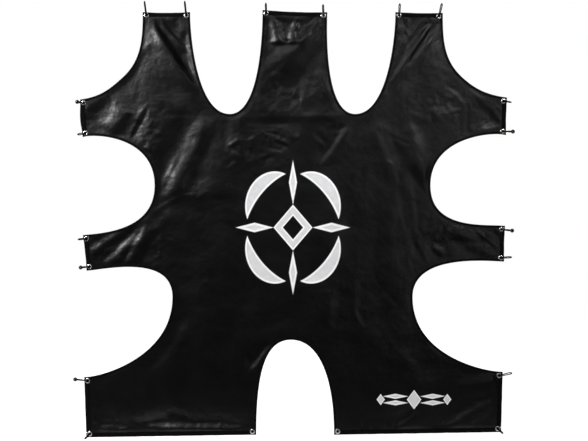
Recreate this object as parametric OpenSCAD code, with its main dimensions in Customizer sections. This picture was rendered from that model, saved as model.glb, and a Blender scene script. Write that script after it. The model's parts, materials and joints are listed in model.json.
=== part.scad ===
// Goal shooting-target sheet: a coated-cloth sheet with nine shooting openings,
// hemmed straight ends, bound curved edges, eyelets at every corner and elastic
// ball ties that hold it in a goal frame.
// Millimetres. The sheet hangs in the XZ plane, its front faces -Y, and the
// origin is the middle of the top hem line.

/* [Sheet] */
// Height from the top hem line to the bottom hem line
sheet_h = 1750; // [1700:5:1850]
// Half width at the upper side tabs
upper_half_w = 880; // [860:2:910]
// Half width at the lower side tabs
lower_half_w = 869; // [850:2:900]
// Half width at the middle of the foot side hems
foot_half_w = 862; // [845:2:890]
// Thickness of the coated cloth
cloth_t = 0.8; // [0.5:0.1:1.2]

/* [Tabs] */
// Distance of the outer top tabs from the middle
outer_tab_x = 522; // [490:2:550]
// Hem width of the outer top tabs
outer_tab_w = 196; // [170:2:220]
// Hem width of the middle top tab
middle_tab_w = 268; // [240:2:300]
// Height of the upper side tabs' middle below the top hem line
upper_tab_drop = 436; // [420:2:460]
// Hem width of the upper side tabs
upper_tab_w = 156; // [140:2:170]
// Height of the lower side tabs' middle below the top hem line
lower_tab_drop = 978; // [960:2:1000]
// Hem width of the lower side tabs
lower_tab_w = 148; // [130:2:165]
// Hem height on the side of each foot
foot_side_h = 250; // [220:2:280]

/* [Openings] */
// Depth of the two top notches
notch_depth = 422; // [400:2:440]
// Distance of the notch bottoms from the middle
notch_x = 260; // [245:1:275]
// Depth of the corner openings below the top hem line
corner_drop = 273; // [255:1:290]
// Distance of the corner openings' inmost points from the middle
corner_x = 706; // [690:1:720]
// Distance of the upper bays' inmost points from the middle
upper_bay_x = 571; // [550:1:590]
// Height of the upper bays' inmost points below the top hem line
upper_bay_drop = 718; // [705:1:730]
// Distance of the lower bays' inmost points from the middle
lower_bay_x = 497; // [475:1:520]
// Height of the lower bays' inmost points below the top hem line
lower_bay_drop = 1180; // [1165:1:1195]
// Width of the arch between the feet
arch_w = 322; // [300:2:350]
// Height of the arch between the feet
arch_h = 393; // [370:1:410]

/* [Hems and bindings] */
// Width of the hem on the straight ends
hem_w = 26; // [25:0.5:30]
// Depth to which the sheet reaches into a hem
hem_slot = 6; // [5:0.5:6]
// Width of the binding on the curved edges
binding_w = 10; // [8:0.5:14]
// Thickness of the binding tape
tape_t = 0.6; // [0.4:0.1:0.8]

/* [Eyelets] */
// Radius of the eyelet's hole
eyelet_r = 5.5; // [5.2:0.1:6]
// Radius of the eyelet's flange and washer
flange_r = 10.5; // [10:0.1:11.5]
// Distance of an eyelet from its hem's edge
eyelet_in = 14; // [13:0.5:14]
// Distance of an eyelet from the curved edge beside it
eyelet_side = 15.5; // [14:0.5:22]
// Thickness of the washer behind the hem
washer_t = 0.7; // [0.5:0.1:1]

/* [Ties] */
// Diameter of the elastic cord
cord_d = 4; // [3.4:0.1:4.2]
// Diameter of the ball on each tie
ball_d = 17; // [16:0.5:18.5]

/* [As hung] */
// How far the hung top left tab lies from its place on the flat pattern: X, Z, turn
top_left_hang = [0, 0, 0]; // [-20:0.5:20]
// The same for the middle top tab
top_middle_hang = [10, 4, -2]; // [-20:0.5:20]
// The same for the top right tab
top_right_hang = [2, -2, -1]; // [-20:0.5:20]
// The same for the upper right tab
upper_right_hang = [6, 4, -1.5]; // [-20:0.5:20]
// The same for the lower right tab
lower_right_hang = [9, 19, -1.5]; // [-20:0.5:20]
// The same for the right foot's side
right_foot_hang = [5, 11, -1.5]; // [-20:0.5:20]
// The same for the left foot's side
left_foot_hang = [4, -11, 2]; // [-20:0.5:20]
// The same for the lower left tab
lower_left_hang = [9, -19, 6]; // [-20:0.5:20]
// The same for the upper left tab
upper_left_hang = [6, -4, 4]; // [-20:0.5:20]
// How far the arch's feet and top are drawn sideways: feet, top
arch_pull = [11, -6]; // [-20:0.5:20]

/* [Hidden] */
HEMS = ["top_left_hem", "top_middle_hem", "top_right_hem", "upper_right_hem",
        "lower_right_hem", "right_foot_side_hem", "right_foot_bottom_hem",
        "left_foot_bottom_hem", "left_foot_side_hem", "lower_left_hem", "upper_left_hem"];
BINDINGS = ["left_notch_binding", "right_notch_binding", "right_corner_binding",
            "right_upper_bay_binding", "right_lower_bay_binding", "arch_binding",
            "left_lower_bay_binding", "left_upper_bay_binding", "left_corner_binding"];
TIE_ROWS = ["top", "right", "left"];
TIES_IN_ROW = 6;
TIES = [for (row = TIE_ROWS) for (i = [1:TIES_IN_ROW]) str(row, "_tie_", i)];

/* Directions in the sheet: 0 is +X, 90 is +Z. The outline runs clockwise as seen
   from the front, so the cloth lies to the right of the direction of travel. */
function heading(a) = [cos(a), sin(a)];
function lerp(a, b, t) = a + (b - a) * t;
function total(list) = list * [for (item = list) 1];
function unit(v) = v / norm(v);
function to_right(v) = [v.y, -v.x];
function at_tab(x, z, hang) = [x + hang[0], z + hang[1]];

// Each straight hem line: its middle, its length and its outward heading.
SIDE_LINES = [
    [at_tab(-outer_tab_x, 0, top_left_hang), outer_tab_w, 90 + top_left_hang[2]],
    [at_tab(0, 0, top_middle_hang), middle_tab_w, 90 + top_middle_hang[2]],
    [at_tab(outer_tab_x, 0, top_right_hang), outer_tab_w, 90 + top_right_hang[2]],
    [at_tab(upper_half_w, -upper_tab_drop, upper_right_hang), upper_tab_w, upper_right_hang[2]],
    [at_tab(lower_half_w, -lower_tab_drop, lower_right_hang), lower_tab_w, lower_right_hang[2]],
    [at_tab(foot_half_w, foot_side_h / 2 - sheet_h, right_foot_hang), foot_side_h,
     right_foot_hang[2]],
    [at_tab(-foot_half_w, foot_side_h / 2 - sheet_h, left_foot_hang), foot_side_h,
     180 + left_foot_hang[2]],
    [at_tab(-lower_half_w, -lower_tab_drop, lower_left_hang), lower_tab_w,
     180 + lower_left_hang[2]],
    [at_tab(-upper_half_w, -upper_tab_drop, upper_left_hang), upper_tab_w,
     180 + upper_left_hang[2]]];
RIGHT_FOOT = 5;
LEFT_FOOT = 6;
function line_start(line) = line[0] + line[1] / 2 * heading(line[2] + 90);
function line_end(line) = line[0] - line[1] / 2 * heading(line[2] + 90);
function arch_foot(side) = [arch_pull[0] + side * arch_w / 2, -sheet_h];

// The corners of each tab in order: two, or three on a foot.
CORNERS = [for (i = [0:len(SIDE_LINES) - 1])
    let (s = line_start(SIDE_LINES[i]), e = line_end(SIDE_LINES[i]))
    i == RIGHT_FOOT ? [s, e, arch_foot(1)] :
    i == LEFT_FOOT ? [arch_foot(-1), s, e] : [s, e]];
function first(list) = list[0];
function last(list) = list[len(list) - 1];

/* Each opening is two cubic curves that meet at its inmost point. One half is
   [handle at the tab, flare of that handle, handle at the inmost point]. */
NOTCH_OUTER = [120, 0, 130];
NOTCH_INNER = [40, 0, 135];
CORNER_TOP = [120, 0, 105];
CORNER_SIDE = [85, -8, 70];
UPPER_BAY_TOP = [45, 20, 208];
UPPER_BAY_BOTTOM = [80, -6, 188];
LOWER_BAY_TOP = [55, 0, 185];
LOWER_BAY_BOTTOM = [75, 0, 245];
ARCH_HALF = [250, 0, 110];
CORNER_TRAVEL = 42;
// [inmost point, heading of travel there, half before it, half after it,
//  inward heading at the tab before, inward heading at the tab after]
CUTS = [
    [[-notch_x, -notch_depth], 0, NOTCH_OUTER, NOTCH_INNER, 270, 270],
    [[notch_x, -notch_depth], 0, NOTCH_INNER, NOTCH_OUTER, 270, 270],
    [[corner_x, -corner_drop], -CORNER_TRAVEL, CORNER_TOP, CORNER_SIDE, 270, 180],
    [[upper_bay_x, -upper_bay_drop], -90, UPPER_BAY_TOP, UPPER_BAY_BOTTOM, 180, 180],
    [[lower_bay_x, -lower_bay_drop], -90, LOWER_BAY_TOP, LOWER_BAY_BOTTOM, 180, 180],
    [[arch_pull[1], arch_h - sheet_h], 180, ARCH_HALF, ARCH_HALF, 90, 90],
    [[-lower_bay_x, -lower_bay_drop], 90, LOWER_BAY_BOTTOM, LOWER_BAY_TOP, 0, 0],
    [[-upper_bay_x, -upper_bay_drop], 90, UPPER_BAY_BOTTOM, UPPER_BAY_TOP, 0, 0],
    [[-corner_x, -corner_drop], CORNER_TRAVEL, CORNER_SIDE, CORNER_TOP, 0, 270]];
function count() = len(CUTS);
function tab_after(k) = (k + 1) % count();

// Control points of the half before the inmost point, and of the half after it.
function half_before(k) = let (c = CUTS[k], a = last(CORNERS[k]))
    [a, a + c[2][0] * heading(c[4] - c[2][1]), c[0] - c[2][2] * heading(c[1]), c[0]];
function half_after(k) = let (c = CUTS[k], b = first(CORNERS[tab_after(k)]))
    [c[0], c[0] + c[3][2] * heading(c[1]), b + c[3][0] * heading(c[5] + c[3][1]), b];
function curve_at(p, t) = pow(1 - t, 3) * p[0] + 3 * pow(1 - t, 2) * t * p[1]
    + 3 * (1 - t) * t * t * p[2] + pow(t, 3) * p[3];
function travel_at(p, t) = unit(pow(1 - t, 2) * (p[1] - p[0])
    + 2 * (1 - t) * t * (p[2] - p[1]) + t * t * (p[3] - p[2]));
// A point on the curve, moved into the cloth by an inset.
function inset_at(p, t, inset) = curve_at(p, t) + inset * to_right(travel_at(p, t));

CURVE_STEPS = 16;
function cut_points(k, inset) = concat(
    [for (i = [0:CURVE_STEPS]) inset_at(half_before(k), i / CURVE_STEPS, inset)],
    [for (i = [1:CURVE_STEPS]) inset_at(half_after(k), i / CURVE_STEPS, inset)]);
OUTLINE = [for (k = [0:count() - 1]) for (p = concat(
    [for (i = [0:len(CORNERS[k]) - 2]) CORNERS[k][i]], cut_points(k, 0))) p];

// The eleven hem lines as [start, end], clockwise, in the order of HEMS.
HEM_LINES = [for (tab = CORNERS) for (i = [0:len(tab) - 2]) [tab[i], tab[i + 1]]];
hem_t = 3 * cloth_t;
slip = 0.2;
slot_t = cloth_t + 2 * slip;
binding_t = slot_t + 2 * tape_t;
overrun = 40;

// A strip along a hem line, from one depth to another inside the edge.
module hem_strip(line, from, to) {
    along = unit(line[1] - line[0]);
    inward = to_right(along);
    a = line[0] - overrun * along;
    b = line[1] + overrun * along;
    polygon([a + from * inward, b + from * inward, b + to * inward, a + to * inward]);
}

// Extrudes a shape drawn in the sheet's plane to a thickness about that plane.
module in_sheet(thickness) {
    rotate([90, 0, 0]) linear_extrude(height = thickness, center = true) children();
}

FOOT_SIDE_HEMS = ["right_foot_side_hem", "left_foot_side_hem"];
FOOT_BOTTOM_OF = [6, 7];
// The bottom hem runs through to the corner, and the side hem stops against it.
module hem_area(i, from, to) {
    side = search([HEMS[i]], FOOT_SIDE_HEMS)[0];
    difference() {
        intersection() {
            polygon(OUTLINE);
            hem_strip(HEM_LINES[i], from, to);
        }
        if (is_num(side)) hem_strip(HEM_LINES[FOOT_BOTTOM_OF[side]], -overrun, hem_w);
    }
}

barrel_wall = 0.5;
barrel_r = eyelet_r + barrel_wall;
hole_gap = 0.1;
module hem(i) {
    color("#101011") difference() {
        in_sheet(hem_t) hem_area(i, -overrun, hem_w);
        in_sheet(slot_t) hem_area(i, hem_w - hem_slot, hem_w + 1);
        for (p = EYELETS)
            at_eyelet(p) rotate([90, 0, 0])
                cylinder(r = barrel_r + hole_gap, h = 2 * hem_t, center = true, $fn = 48);
    }
}

// Folded tape round a curved edge: two walls and a fold, butted on the hems.
module binding_area(k, from) {
    difference() {
        polygon(concat(cut_points(k, from), reversed(cut_points(k, binding_w))));
        for (line = HEM_LINES) hem_strip(line, -overrun, hem_w);
    }
}
function reversed(list) = [for (i = [len(list) - 1:-1:0]) list[i]];
module binding(k) {
    color("#141415") difference() {
        in_sheet(binding_t) binding_area(k, 0);
        in_sheet(slot_t)
            polygon(concat(cut_points(k, tape_t), reversed(cut_points(k, binding_w + 1))));
    }
}

/* Eyelets: one at each corner of each tab, all of one size. */
function eyelet_near(corner, along, inward) =
    corner + eyelet_side * along + eyelet_in * inward;
function corner_eyelet(before, after) =
    let (a = unit(before[1] - before[0]), b = unit(after[1] - after[0]))
    before[1] + eyelet_in * (to_right(a) + to_right(b));
function tab_eyelets(tab) =
    let (n = len(tab), a = unit(tab[1] - tab[0]), b = unit(tab[n - 1] - tab[n - 2]))
    concat([eyelet_near(tab[0], a, to_right(a))],
           n == 3 ? [corner_eyelet([tab[0], tab[1]], [tab[1], tab[2]])] : [],
           [eyelet_near(tab[n - 1], -b, to_right(b))]);
EYELETS = [for (tab = CORNERS) for (p = tab_eyelets(tab)) p];
FREE_EYELETS = [12, 13];
TIED_EYELETS = [0, 1, 2, 3, 4, 5, 6, 7, 8, 9, 10, 11, 19, 18, 17, 16, 15, 14];
module at_eyelet(p) {
    translate([p.x, 0, p.y]) children();
}

crown = 1.4;
rim_r = crown / 2;
lip_h = 0.8;
lip_w = 1.8;
lip_edge = 0.4;
flange_slope = 2;
flange_fall = 0.3;
flange_edge = 0.4;
front_face = hem_t / 2;
back_face = hem_t / 2 + washer_t;
// Profile in radius and depth, with the front at the top; turned round the hole.
module eyelet_barrel() {
    rotate([90, 0, 0]) rotate_extrude($fn = 64) {
        translate([eyelet_r, -back_face]) square([barrel_wall, back_face + front_face]);
        translate([eyelet_r + rim_r, front_face + crown - rim_r]) circle(rim_r, $fn = 32);
        translate([eyelet_r, front_face]) square([rim_r, crown - rim_r]);
        polygon([[eyelet_r + rim_r, front_face],
                 [eyelet_r + rim_r, front_face + crown],
                 [flange_r - flange_slope, front_face + crown - flange_fall],
                 [flange_r - flange_edge, front_face + flange_edge],
                 [flange_r, front_face]]);
        polygon([[eyelet_r, -back_face],
                 [eyelet_r + lip_w, -back_face],
                 [eyelet_r + lip_w, -back_face - lip_edge],
                 [eyelet_r + lip_w - lip_edge, -back_face - lip_h],
                 [eyelet_r + lip_edge, -back_face - lip_h],
                 [eyelet_r, -back_face - lip_edge]]);
    }
}

module eyelet_washer() {
    rotate([90, 0, 0]) translate([0, 0, -back_face]) rotate_extrude($fn = 64)
        polygon([[barrel_r + hole_gap, 0], [flange_r - flange_edge, 0],
                 [flange_r, flange_edge], [flange_r, washer_t],
                 [barrel_r + hole_gap, washer_t]]);
}

module eyelet_group(indices) {
    for (i = indices) at_eyelet(EYELETS[i]) children();
}
module tied_eyelets() {
    color("#c9cbcf") eyelet_group(TIED_EYELETS) eyelet_barrel();
}
module free_eyelets() {
    color("#c9cbcf") eyelet_group(FREE_EYELETS) eyelet_barrel();
}
module eyelet_washers() {
    color("#b9bbc0") eyelet_group([for (i = [0:len(EYELETS) - 1]) i]) eyelet_washer();
}

/* Sheet: straight rows between the two sides of each tab, and a body of rings
   round the middle. It lies flat near every edge and carries its main folds
   elsewhere. */
SHEET_MIDDLE = [0, -800];
BODY_RINGS = [0.34, 0.68];
SIDE_STEPS = [0, 0.12, 0.26, 0.44, 0.68];
ARCH_STEPS = [0, 0.08, 0.18, 0.29, 0.42, 0.58, 0.78];
FOOT_STEPS = [0.5];
ROW_STEPS = [0.25, 0.5, 0.75];
sheet_in = 6;
flat_border = 24;
hem_row = hem_w - hem_slot;
flat_row = hem_w + 3;
fold_start = 45;
fold_full = 90;

// Where the sheet's edge meets a hem: two rows, one flat and one in the slot.
function near_hem(corner, along, inward, rows) =
    [for (depth = rows) corner + sheet_in * along + depth * inward];
function start_side(k) = let (c = (k + count() - 1) % count(), tab = CORNERS[k],
                              a = unit(tab[1] - tab[0]))
    concat([for (s = k == LEFT_FOOT ? ARCH_STEPS : SIDE_STEPS)
                inset_at(half_after(c), s, sheet_in)],
           k == RIGHT_FOOT ? side_hem_rows(tab[0], tab[1], a, 1)
                           : near_hem(tab[0], a, to_right(a), [flat_row, hem_row]));
function end_side(k) = let (tab = CORNERS[k], n = len(tab),
                            a = unit(tab[n - 1] - tab[n - 2]))
    concat([for (s = k == RIGHT_FOOT ? ARCH_STEPS : SIDE_STEPS)
                inset_at(half_before(k), 1 - s, sheet_in)],
           k == LEFT_FOOT ? side_hem_rows(tab[n - 1], tab[n - 2], -a, -1)
                          : near_hem(tab[n - 1], -a, to_right(a), [flat_row, hem_row]));
// Down the side of a foot, from its upper corner to its outer corner.
function side_hem_rows(top, bottom, along, turn) =
    let (inward = turn * to_right(along),
         a = top + sheet_in * along + hem_row * inward,
         b = bottom - flat_row * along + hem_row * inward)
    concat([a], [for (s = FOOT_STEPS) lerp(a, b, s)],
           [b, bottom - hem_row * along + hem_row * inward]);

function across(a, b) = let (e = flat_border / norm(b - a))
    [for (u = concat([0, e], ROW_STEPS, [1 - e, 1])) lerp(a, b, u)];
function tab_grid(k) = let (s = start_side(k), e = end_side(k))
    [for (j = [0:len(s) - 1]) across(s[j], e[j])];

EDGE_POINTS = concat(
    [for (k = [0:count() - 1]) for (p = cut_points(k, 0)) p],
    [for (line = HEM_LINES) let (n = ceil(norm(line[1] - line[0]) / 20))
        for (i = [1:n - 1]) lerp(line[0], line[1], i / n)]);
function edge_gap(p) = min([for (q = EDGE_POINTS) norm(p - q)]);
function smooth(x) = let (t = min(max(x, 0), 1)) t * t * (3 - 2 * t);

// Main folds: [x and z of one end, x and z of the other, half width, height].
FOLDS = [
    [-600, -40, -400, -290, 45, 9],
    [-520, -30, -330, -310, 40, -7],
    [-370, -430, -570, -770, 60, 10],
    [110, -30, -20, -180, 45, 8],
    [590, -40, 400, -290, 40, 8],
    [360, -480, 460, -720, 45, 8],
    [490, -500, 540, -620, 35, 6],
    [220, -520, 120, -640, 40, -6],
    [-500, -850, -780, -980, 45, 7],
    [540, -960, 800, -940, 40, -6],
    [-460, -1330, -620, -1660, 60, 7],
    [300, -1320, 560, -1560, 60, 6],
    [-80, -1250, 60, -600, 80, -5]];
function fold_gap(p, f) = let (a = [f[0], f[1]], d = [f[2], f[3]] - a,
                               t = min(max((p - a) * d / (d * d), 0), 1))
    norm(p - a - t * d);
function fold_rise(p) = total([for (f = FOLDS) f[5] * exp(-pow(fold_gap(p, f) / f[4], 2))])
    * smooth((edge_gap(p) - fold_start) / (fold_full - fold_start));
// A point of the front skin (side -1) or the back skin (side 1); a forward fold
// has a positive rise. Points are rounded so that skins which meet share them.
grain = 1000;
function rounded(p) = [for (c = p) round(c * grain) / grain];
function lifted(p, side) = rounded([p.x, side * cloth_t / 2 - fold_rise(p), p.y]);

/* A grid is rows of points that run outwards, each row clockwise. Its front
   and back skins share one list of points, the back's after the front's. */
function joined(lists) = [for (list = lists) for (item = list) item];
function grid_points(grid) = [for (side = [-1, 1]) for (p = joined(grid)) lifted(p, side)];
function grid_size(grid) = len(grid) * len(grid[0]);
function skin_faces(grid, at) = let (cols = len(grid[0]), size = grid_size(grid))
    [for (j = [0:len(grid) - 2]) for (i = [0:cols - 2])
        let (a = at + j * cols + i, b = a + 1, c = a + cols, d = c + 1)
        for (f = [[a, c, d], [a, d, b], [a + size, d + size, c + size],
                  [a + size, b + size, d + size]]) f];
// The cut edge between the two skins, up one side, along the hem and down again.
function edge_faces(grid, at) =
    let (rows = len(grid), cols = len(grid[0]), size = grid_size(grid),
         loop = concat([for (j = [0:rows - 1]) j * cols],
                       [for (i = [1:cols - 1]) (rows - 1) * cols + i],
                       [for (j = [rows - 2:-1:0]) j * cols + cols - 1]))
    [for (i = [0:len(loop) - 2]) let (a = at + loop[i], b = at + loop[i + 1])
        for (f = [[a, a + size, b + size], [a, b + size, b]]) f];
function start_of(grids, k) = k == 0 ? 0 : start_of(grids, k - 1) + 2 * grid_size(grids[k - 1]);

module target_sheet() {
    tabs = [for (k = [0:count() - 1]) tab_grid(k)];
    rim = [for (grid = tabs) for (i = [0:len(grid[0]) - 2]) grid[0][i]];
    closed_rim = concat(rim, [rim[0]]);
    body = concat(
        [for (s = BODY_RINGS) [for (p = closed_rim) lerp(SHEET_MIDDLE, p, s)]],
        [[for (p = closed_rim) p + flat_border * unit(SHEET_MIDDLE - p)]],
        [closed_rim]);
    grids = concat(tabs, [body]);
    body_at = start_of(grids, len(tabs));
    middle = start_of(grids, len(grids));
    fan = [for (i = [0:len(rim) - 1]) let (a = body_at + i, back = a + grid_size(body))
        for (f = [[middle, a, a + 1], [middle + 1, back + 1, back]]) f];
    color("#1c1c1e") polyhedron(
        points = concat(joined([for (grid = grids) grid_points(grid)]),
                        [lifted(SHEET_MIDDLE, -1), lifted(SHEET_MIDDLE, 1)]),
        faces = concat(
            joined([for (k = [0:len(grids) - 1]) skin_faces(grids[k], start_of(grids, k))]),
            joined([for (k = [0:len(tabs) - 1]) edge_faces(tabs[k], start_of(grids, k))]),
            fan));
}

/* Ties: each is a loop of elastic cord, both ends held in a ball, put through its
   eyelet. A looped tie has its ball behind the sheet and its loop in front; a
   balled tie goes round the hem and has its ball outside the sheet.
   A tie is drawn with X outwards, Y to the back and Z along the sheet. */
// [kind, reach from the eyelet, heading] in the order of TIES
TIE_SPECS = [
    ["loop", 58, 97], ["loop", 58, 96], ["loop", 42, 92],
    ["loop", 44, 93], ["loop", 48, 88], ["loop", 53, 78],
    ["loop", 32, -11], ["ball", 42, -1], ["ball", 44, -6],
    ["loop", 44, 4], ["loop", 53, 13], ["loop", 28, -42],
    ["ball", 27, 170], ["loop", 34, 192], ["loop", 35, 187],
    ["ball", 37, 186], ["ball", 52, 174], ["loop", 28, 226]];
cord_r = cord_d / 2;
ball_r = ball_d / 2;
seat_gap = 0.3;
bend_r = 1.5 * cord_d;
half_turn = 0.7;
pair_z = cord_r + seat_gap;
ball_hole_r = pair_z + cord_r + 0.3;
lip_front = back_face + lip_h;
// A ball behind an eyelet rests its nose on the rolled lip.
ball_y = lip_front + sqrt(pow(ball_r + seat_gap, 2) - pow(eyelet_r + lip_edge, 2));
far_y = 3 * bend_r;
mid_y = 2 * bend_r;

function loop_path(reach) = let (x = reach - cord_r - bend_r, w = half_turn * bend_r) [
    [0, ball_y, -pair_z], [0, 0, -pair_z],
    [0.3 * bend_r, -half_turn * bend_r, -pair_z], [0.95 * bend_r, -1.25 * bend_r, -2.2],
    [lerp(bend_r, x, 0.5), -0.85 * far_y, -1.7], [x, -far_y, -1.2],
    [x + w, -mid_y - w, -0.6], [x + bend_r, -mid_y, 0], [x + w, -mid_y + w, 0.6],
    [x, -bend_r, 1.2], [lerp(bend_r, x, 0.5), -bend_r, 1.8], [bend_r, -bend_r, 2.2],
    [0.3 * bend_r, -half_turn * bend_r, pair_z], [0, 0, pair_z], [0, ball_y, pair_z]];

eyelet_x = 2.6;
splay = 1.7;
hem_clear_x = 17.5;
// The half of a balled tie from the ball to the eyelet; the other half mirrors it.
function ball_half(reach) = let (x = max(hem_clear_x, lerp(eyelet_x + bend_r, reach - 8, 0.75))) [
    [reach, -splay, -splay], [reach - ball_r + 1.1, -splay, -splay], [x, -3.9, -1.4],
    [lerp(eyelet_x + bend_r, x, 0.5), -0.9 * bend_r, -1],
    [eyelet_x + bend_r, -bend_r, -0.6],
    [eyelet_x + 0.3 * bend_r, -half_turn * bend_r, -0.2]];
function ball_path(reach) = let (half = ball_half(reach)) concat(
    half, [[eyelet_x, 0, 0]], [for (p = reversed(half)) [p.x, -p.y, -p.z]]);

CORD_SIDES = 8;
function cord_ring(path, i) =
    let (n = len(path), t = unit(path[min(i + 1, n - 1)] - path[max(i - 1, 0)]),
         u = unit(cross(t, [0, 0, 1])), v = cross(t, u))
    [for (a = [0:CORD_SIDES - 1]) path[i] + cord_r * (cos(360 * a / CORD_SIDES) * u
        + sin(360 * a / CORD_SIDES) * v)];
module cord_along(path) {
    n = len(path);
    polyhedron(
        points = joined([for (i = [0:n - 1]) cord_ring(path, i)]),
        faces = concat(
            [[for (a = [0:CORD_SIDES - 1]) a]],
            [[for (a = [CORD_SIDES - 1:-1:0]) (n - 1) * CORD_SIDES + a]],
            [for (i = [0:n - 2]) for (a = [0:CORD_SIDES - 1])
                let (p = i * CORD_SIDES + a, q = i * CORD_SIDES + (a + 1) % CORD_SIDES)
                for (f = [[p, q + CORD_SIDES, q], [p, p + CORD_SIDES, q + CORD_SIDES]]) f]));
}
module at_tie(i) {
    at_eyelet(EYELETS[TIED_EYELETS[i]]) rotate([0, -TIE_SPECS[i][2], 0]) children();
}
module tie_cord(i) {
    color("#0e0e0e") at_tie(i)
        cord_along(TIE_SPECS[i][0] == "loop" ? loop_path(TIE_SPECS[i][1])
                                             : ball_path(TIE_SPECS[i][1]));
}
module tie_ball(i) {
    looped = TIE_SPECS[i][0] == "loop";
    color("#121212") at_tie(i)
        translate(looped ? [0, ball_y, 0] : [TIE_SPECS[i][1], 0, 0])
        rotate(looped ? [90, 0, 0] : [0, -90, 0]) difference() {
            sphere(ball_r, $fn = 48);
            cylinder(r = ball_hole_r, h = ball_r + 1, $fn = 32);
        }
}

target_sheet();
for (i = [0:len(HEMS) - 1]) hem(i);
for (k = [0:len(BINDINGS) - 1]) binding(k);
tied_eyelets();
free_eyelets();
eyelet_washers();
for (i = [0:len(TIES) - 1]) {
    tie_cord(i);
    tie_ball(i);
}
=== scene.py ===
import json
import math
from functools import partial

import bpy
import numpy as np
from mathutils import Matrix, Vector


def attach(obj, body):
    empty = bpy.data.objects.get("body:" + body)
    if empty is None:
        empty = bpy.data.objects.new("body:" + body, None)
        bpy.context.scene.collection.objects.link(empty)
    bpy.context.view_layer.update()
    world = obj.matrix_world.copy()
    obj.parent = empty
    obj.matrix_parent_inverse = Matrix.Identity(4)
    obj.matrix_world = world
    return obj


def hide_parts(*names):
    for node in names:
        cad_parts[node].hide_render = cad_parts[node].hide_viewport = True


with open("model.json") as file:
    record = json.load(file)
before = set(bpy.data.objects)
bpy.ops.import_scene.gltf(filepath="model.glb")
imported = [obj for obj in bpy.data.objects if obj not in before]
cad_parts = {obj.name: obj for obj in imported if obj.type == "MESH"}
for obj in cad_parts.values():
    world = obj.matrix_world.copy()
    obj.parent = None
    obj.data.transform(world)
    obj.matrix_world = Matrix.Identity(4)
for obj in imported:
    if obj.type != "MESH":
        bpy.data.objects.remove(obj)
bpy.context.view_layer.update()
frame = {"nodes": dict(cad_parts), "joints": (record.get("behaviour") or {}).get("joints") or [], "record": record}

# Everything is in metres. X is to the right, Z is up, and the sheet hangs in the
# plane Y = 0 with its printed face towards -Y.
MM = 0.001
rng = np.random.default_rng(7)
bpy.context.scene.view_settings.view_transform = "Standard"


# --- Camera -----------------------------------------------------------------

CAMERA_PLACE = (0.0062, -5.0, -0.863)
SENSOR_W_MM = 36
FOCAL_LENGTH_MM = 73.95


def make_camera():
    """A level camera square on to the sheet, 5 m in front of it."""
    data = bpy.data.cameras.new("front_camera")
    data.sensor_width = SENSOR_W_MM
    data.lens = FOCAL_LENGTH_MM
    camera = bpy.data.objects.new("front_camera", data)
    camera.location = CAMERA_PLACE
    camera.rotation_euler = (math.radians(90), 0, 0)
    bpy.context.scene.collection.objects.link(camera)
    bpy.context.scene.camera = camera


make_camera()


# --- Mesh tools -------------------------------------------------------------

def mesh_piece(name, points, faces, material, uv=None, smooth=True):
    """Makes one object from point and face arrays. uv holds one pair per face corner."""
    mesh = bpy.data.meshes.new(name)
    mesh.from_pydata(np.asarray(points).reshape(-1, 3), [], [list(f) for f in faces])
    if uv is not None:
        layer = mesh.uv_layers.new(name="cloth")
        layer.data.foreach_set("uv", np.asarray(uv, dtype=np.float32).ravel())
    mesh.polygons.foreach_set("use_smooth", np.full(len(mesh.polygons), smooth))
    mesh.materials.append(material)
    mesh.update()
    piece = bpy.data.objects.new(name, mesh)
    bpy.context.scene.collection.objects.link(piece)
    return piece


def loop_faces(rows, columns):
    """Quads of a tube whose rings each have that many points, and their row and column."""
    row, column = np.meshgrid(np.arange(rows - 1), np.arange(columns), indexing="ij")
    after = (column + 1) % columns
    a = row * columns + column
    b = row * columns + after
    quads = np.stack([a, b, b + columns, a + columns], axis=-1).reshape(-1, 4)
    rows_of = np.stack([row, row, row + 1, row + 1], axis=-1).reshape(-1, 4)
    columns_of = np.stack([column, column + 1, column + 1, column], axis=-1).reshape(-1, 4)
    return quads, rows_of, columns_of


def tube(rings, along, around, capped=True):
    """Faces and corner coordinates of rings joined into a closed tube.

    along gives each ring's distance and around each point's distance in its ring, with
    one more at its end for the way back to the first point.
    """
    rows, columns = rings.shape[:2]
    quads, rows_of, columns_of = loop_faces(rows, columns)
    uv = np.stack([np.asarray(along)[rows_of], np.asarray(around)[columns_of]], axis=-1)
    faces = quads.tolist()
    uv = uv.reshape(-1, 2)
    if capped:
        first = list(range(columns))[::-1]
        last = [(rows - 1) * columns + i for i in range(columns)]
        faces += [first, last]
        ends = np.zeros((2 * columns, 2))
        ends[columns:, 0] = along[-1]
        uv = np.concatenate([uv, ends])
    return faces, uv


def unit(v):
    """Scales vectors to length 1."""
    return v / np.linalg.norm(v, axis=-1, keepdims=True)


def ease(x):
    """Goes smoothly from 0 to 1."""
    t = np.clip(x, 0, 1)
    return t * t * (3 - 2 * t)


def mix(a, b, t):
    """The value a share t of the way from a to b."""
    return a + (b - a) * t


def distances(points):
    """The distance along a path at each of its points."""
    steps = np.linalg.norm(np.diff(points, axis=0), axis=-1)
    return np.concatenate([[0], np.cumsum(steps)])


def evenly(points, spacing):
    """The same path with points at an even spacing."""
    along = distances(points)
    count = max(2, int(round(along[-1] / spacing)) + 1)
    at = np.linspace(0, along[-1], count)
    return np.stack([np.interp(at, along, points[:, i]) for i in range(points.shape[1])], axis=-1)


# --- Shader tools -----------------------------------------------------------

def feed(tree, socket, value):
    """Sets an input to a number or colour, or links another node's socket to it."""
    if isinstance(value, bpy.types.NodeSocket):
        tree.links.new(value, socket)
    else:
        socket.default_value = value


def set_inputs(tree, node, **values):
    """Feeds a node's inputs by name, with an underscore for each space in the name."""
    for name, value in values.items():
        feed(tree, node.inputs[name.replace("_", " ")], value)


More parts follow.
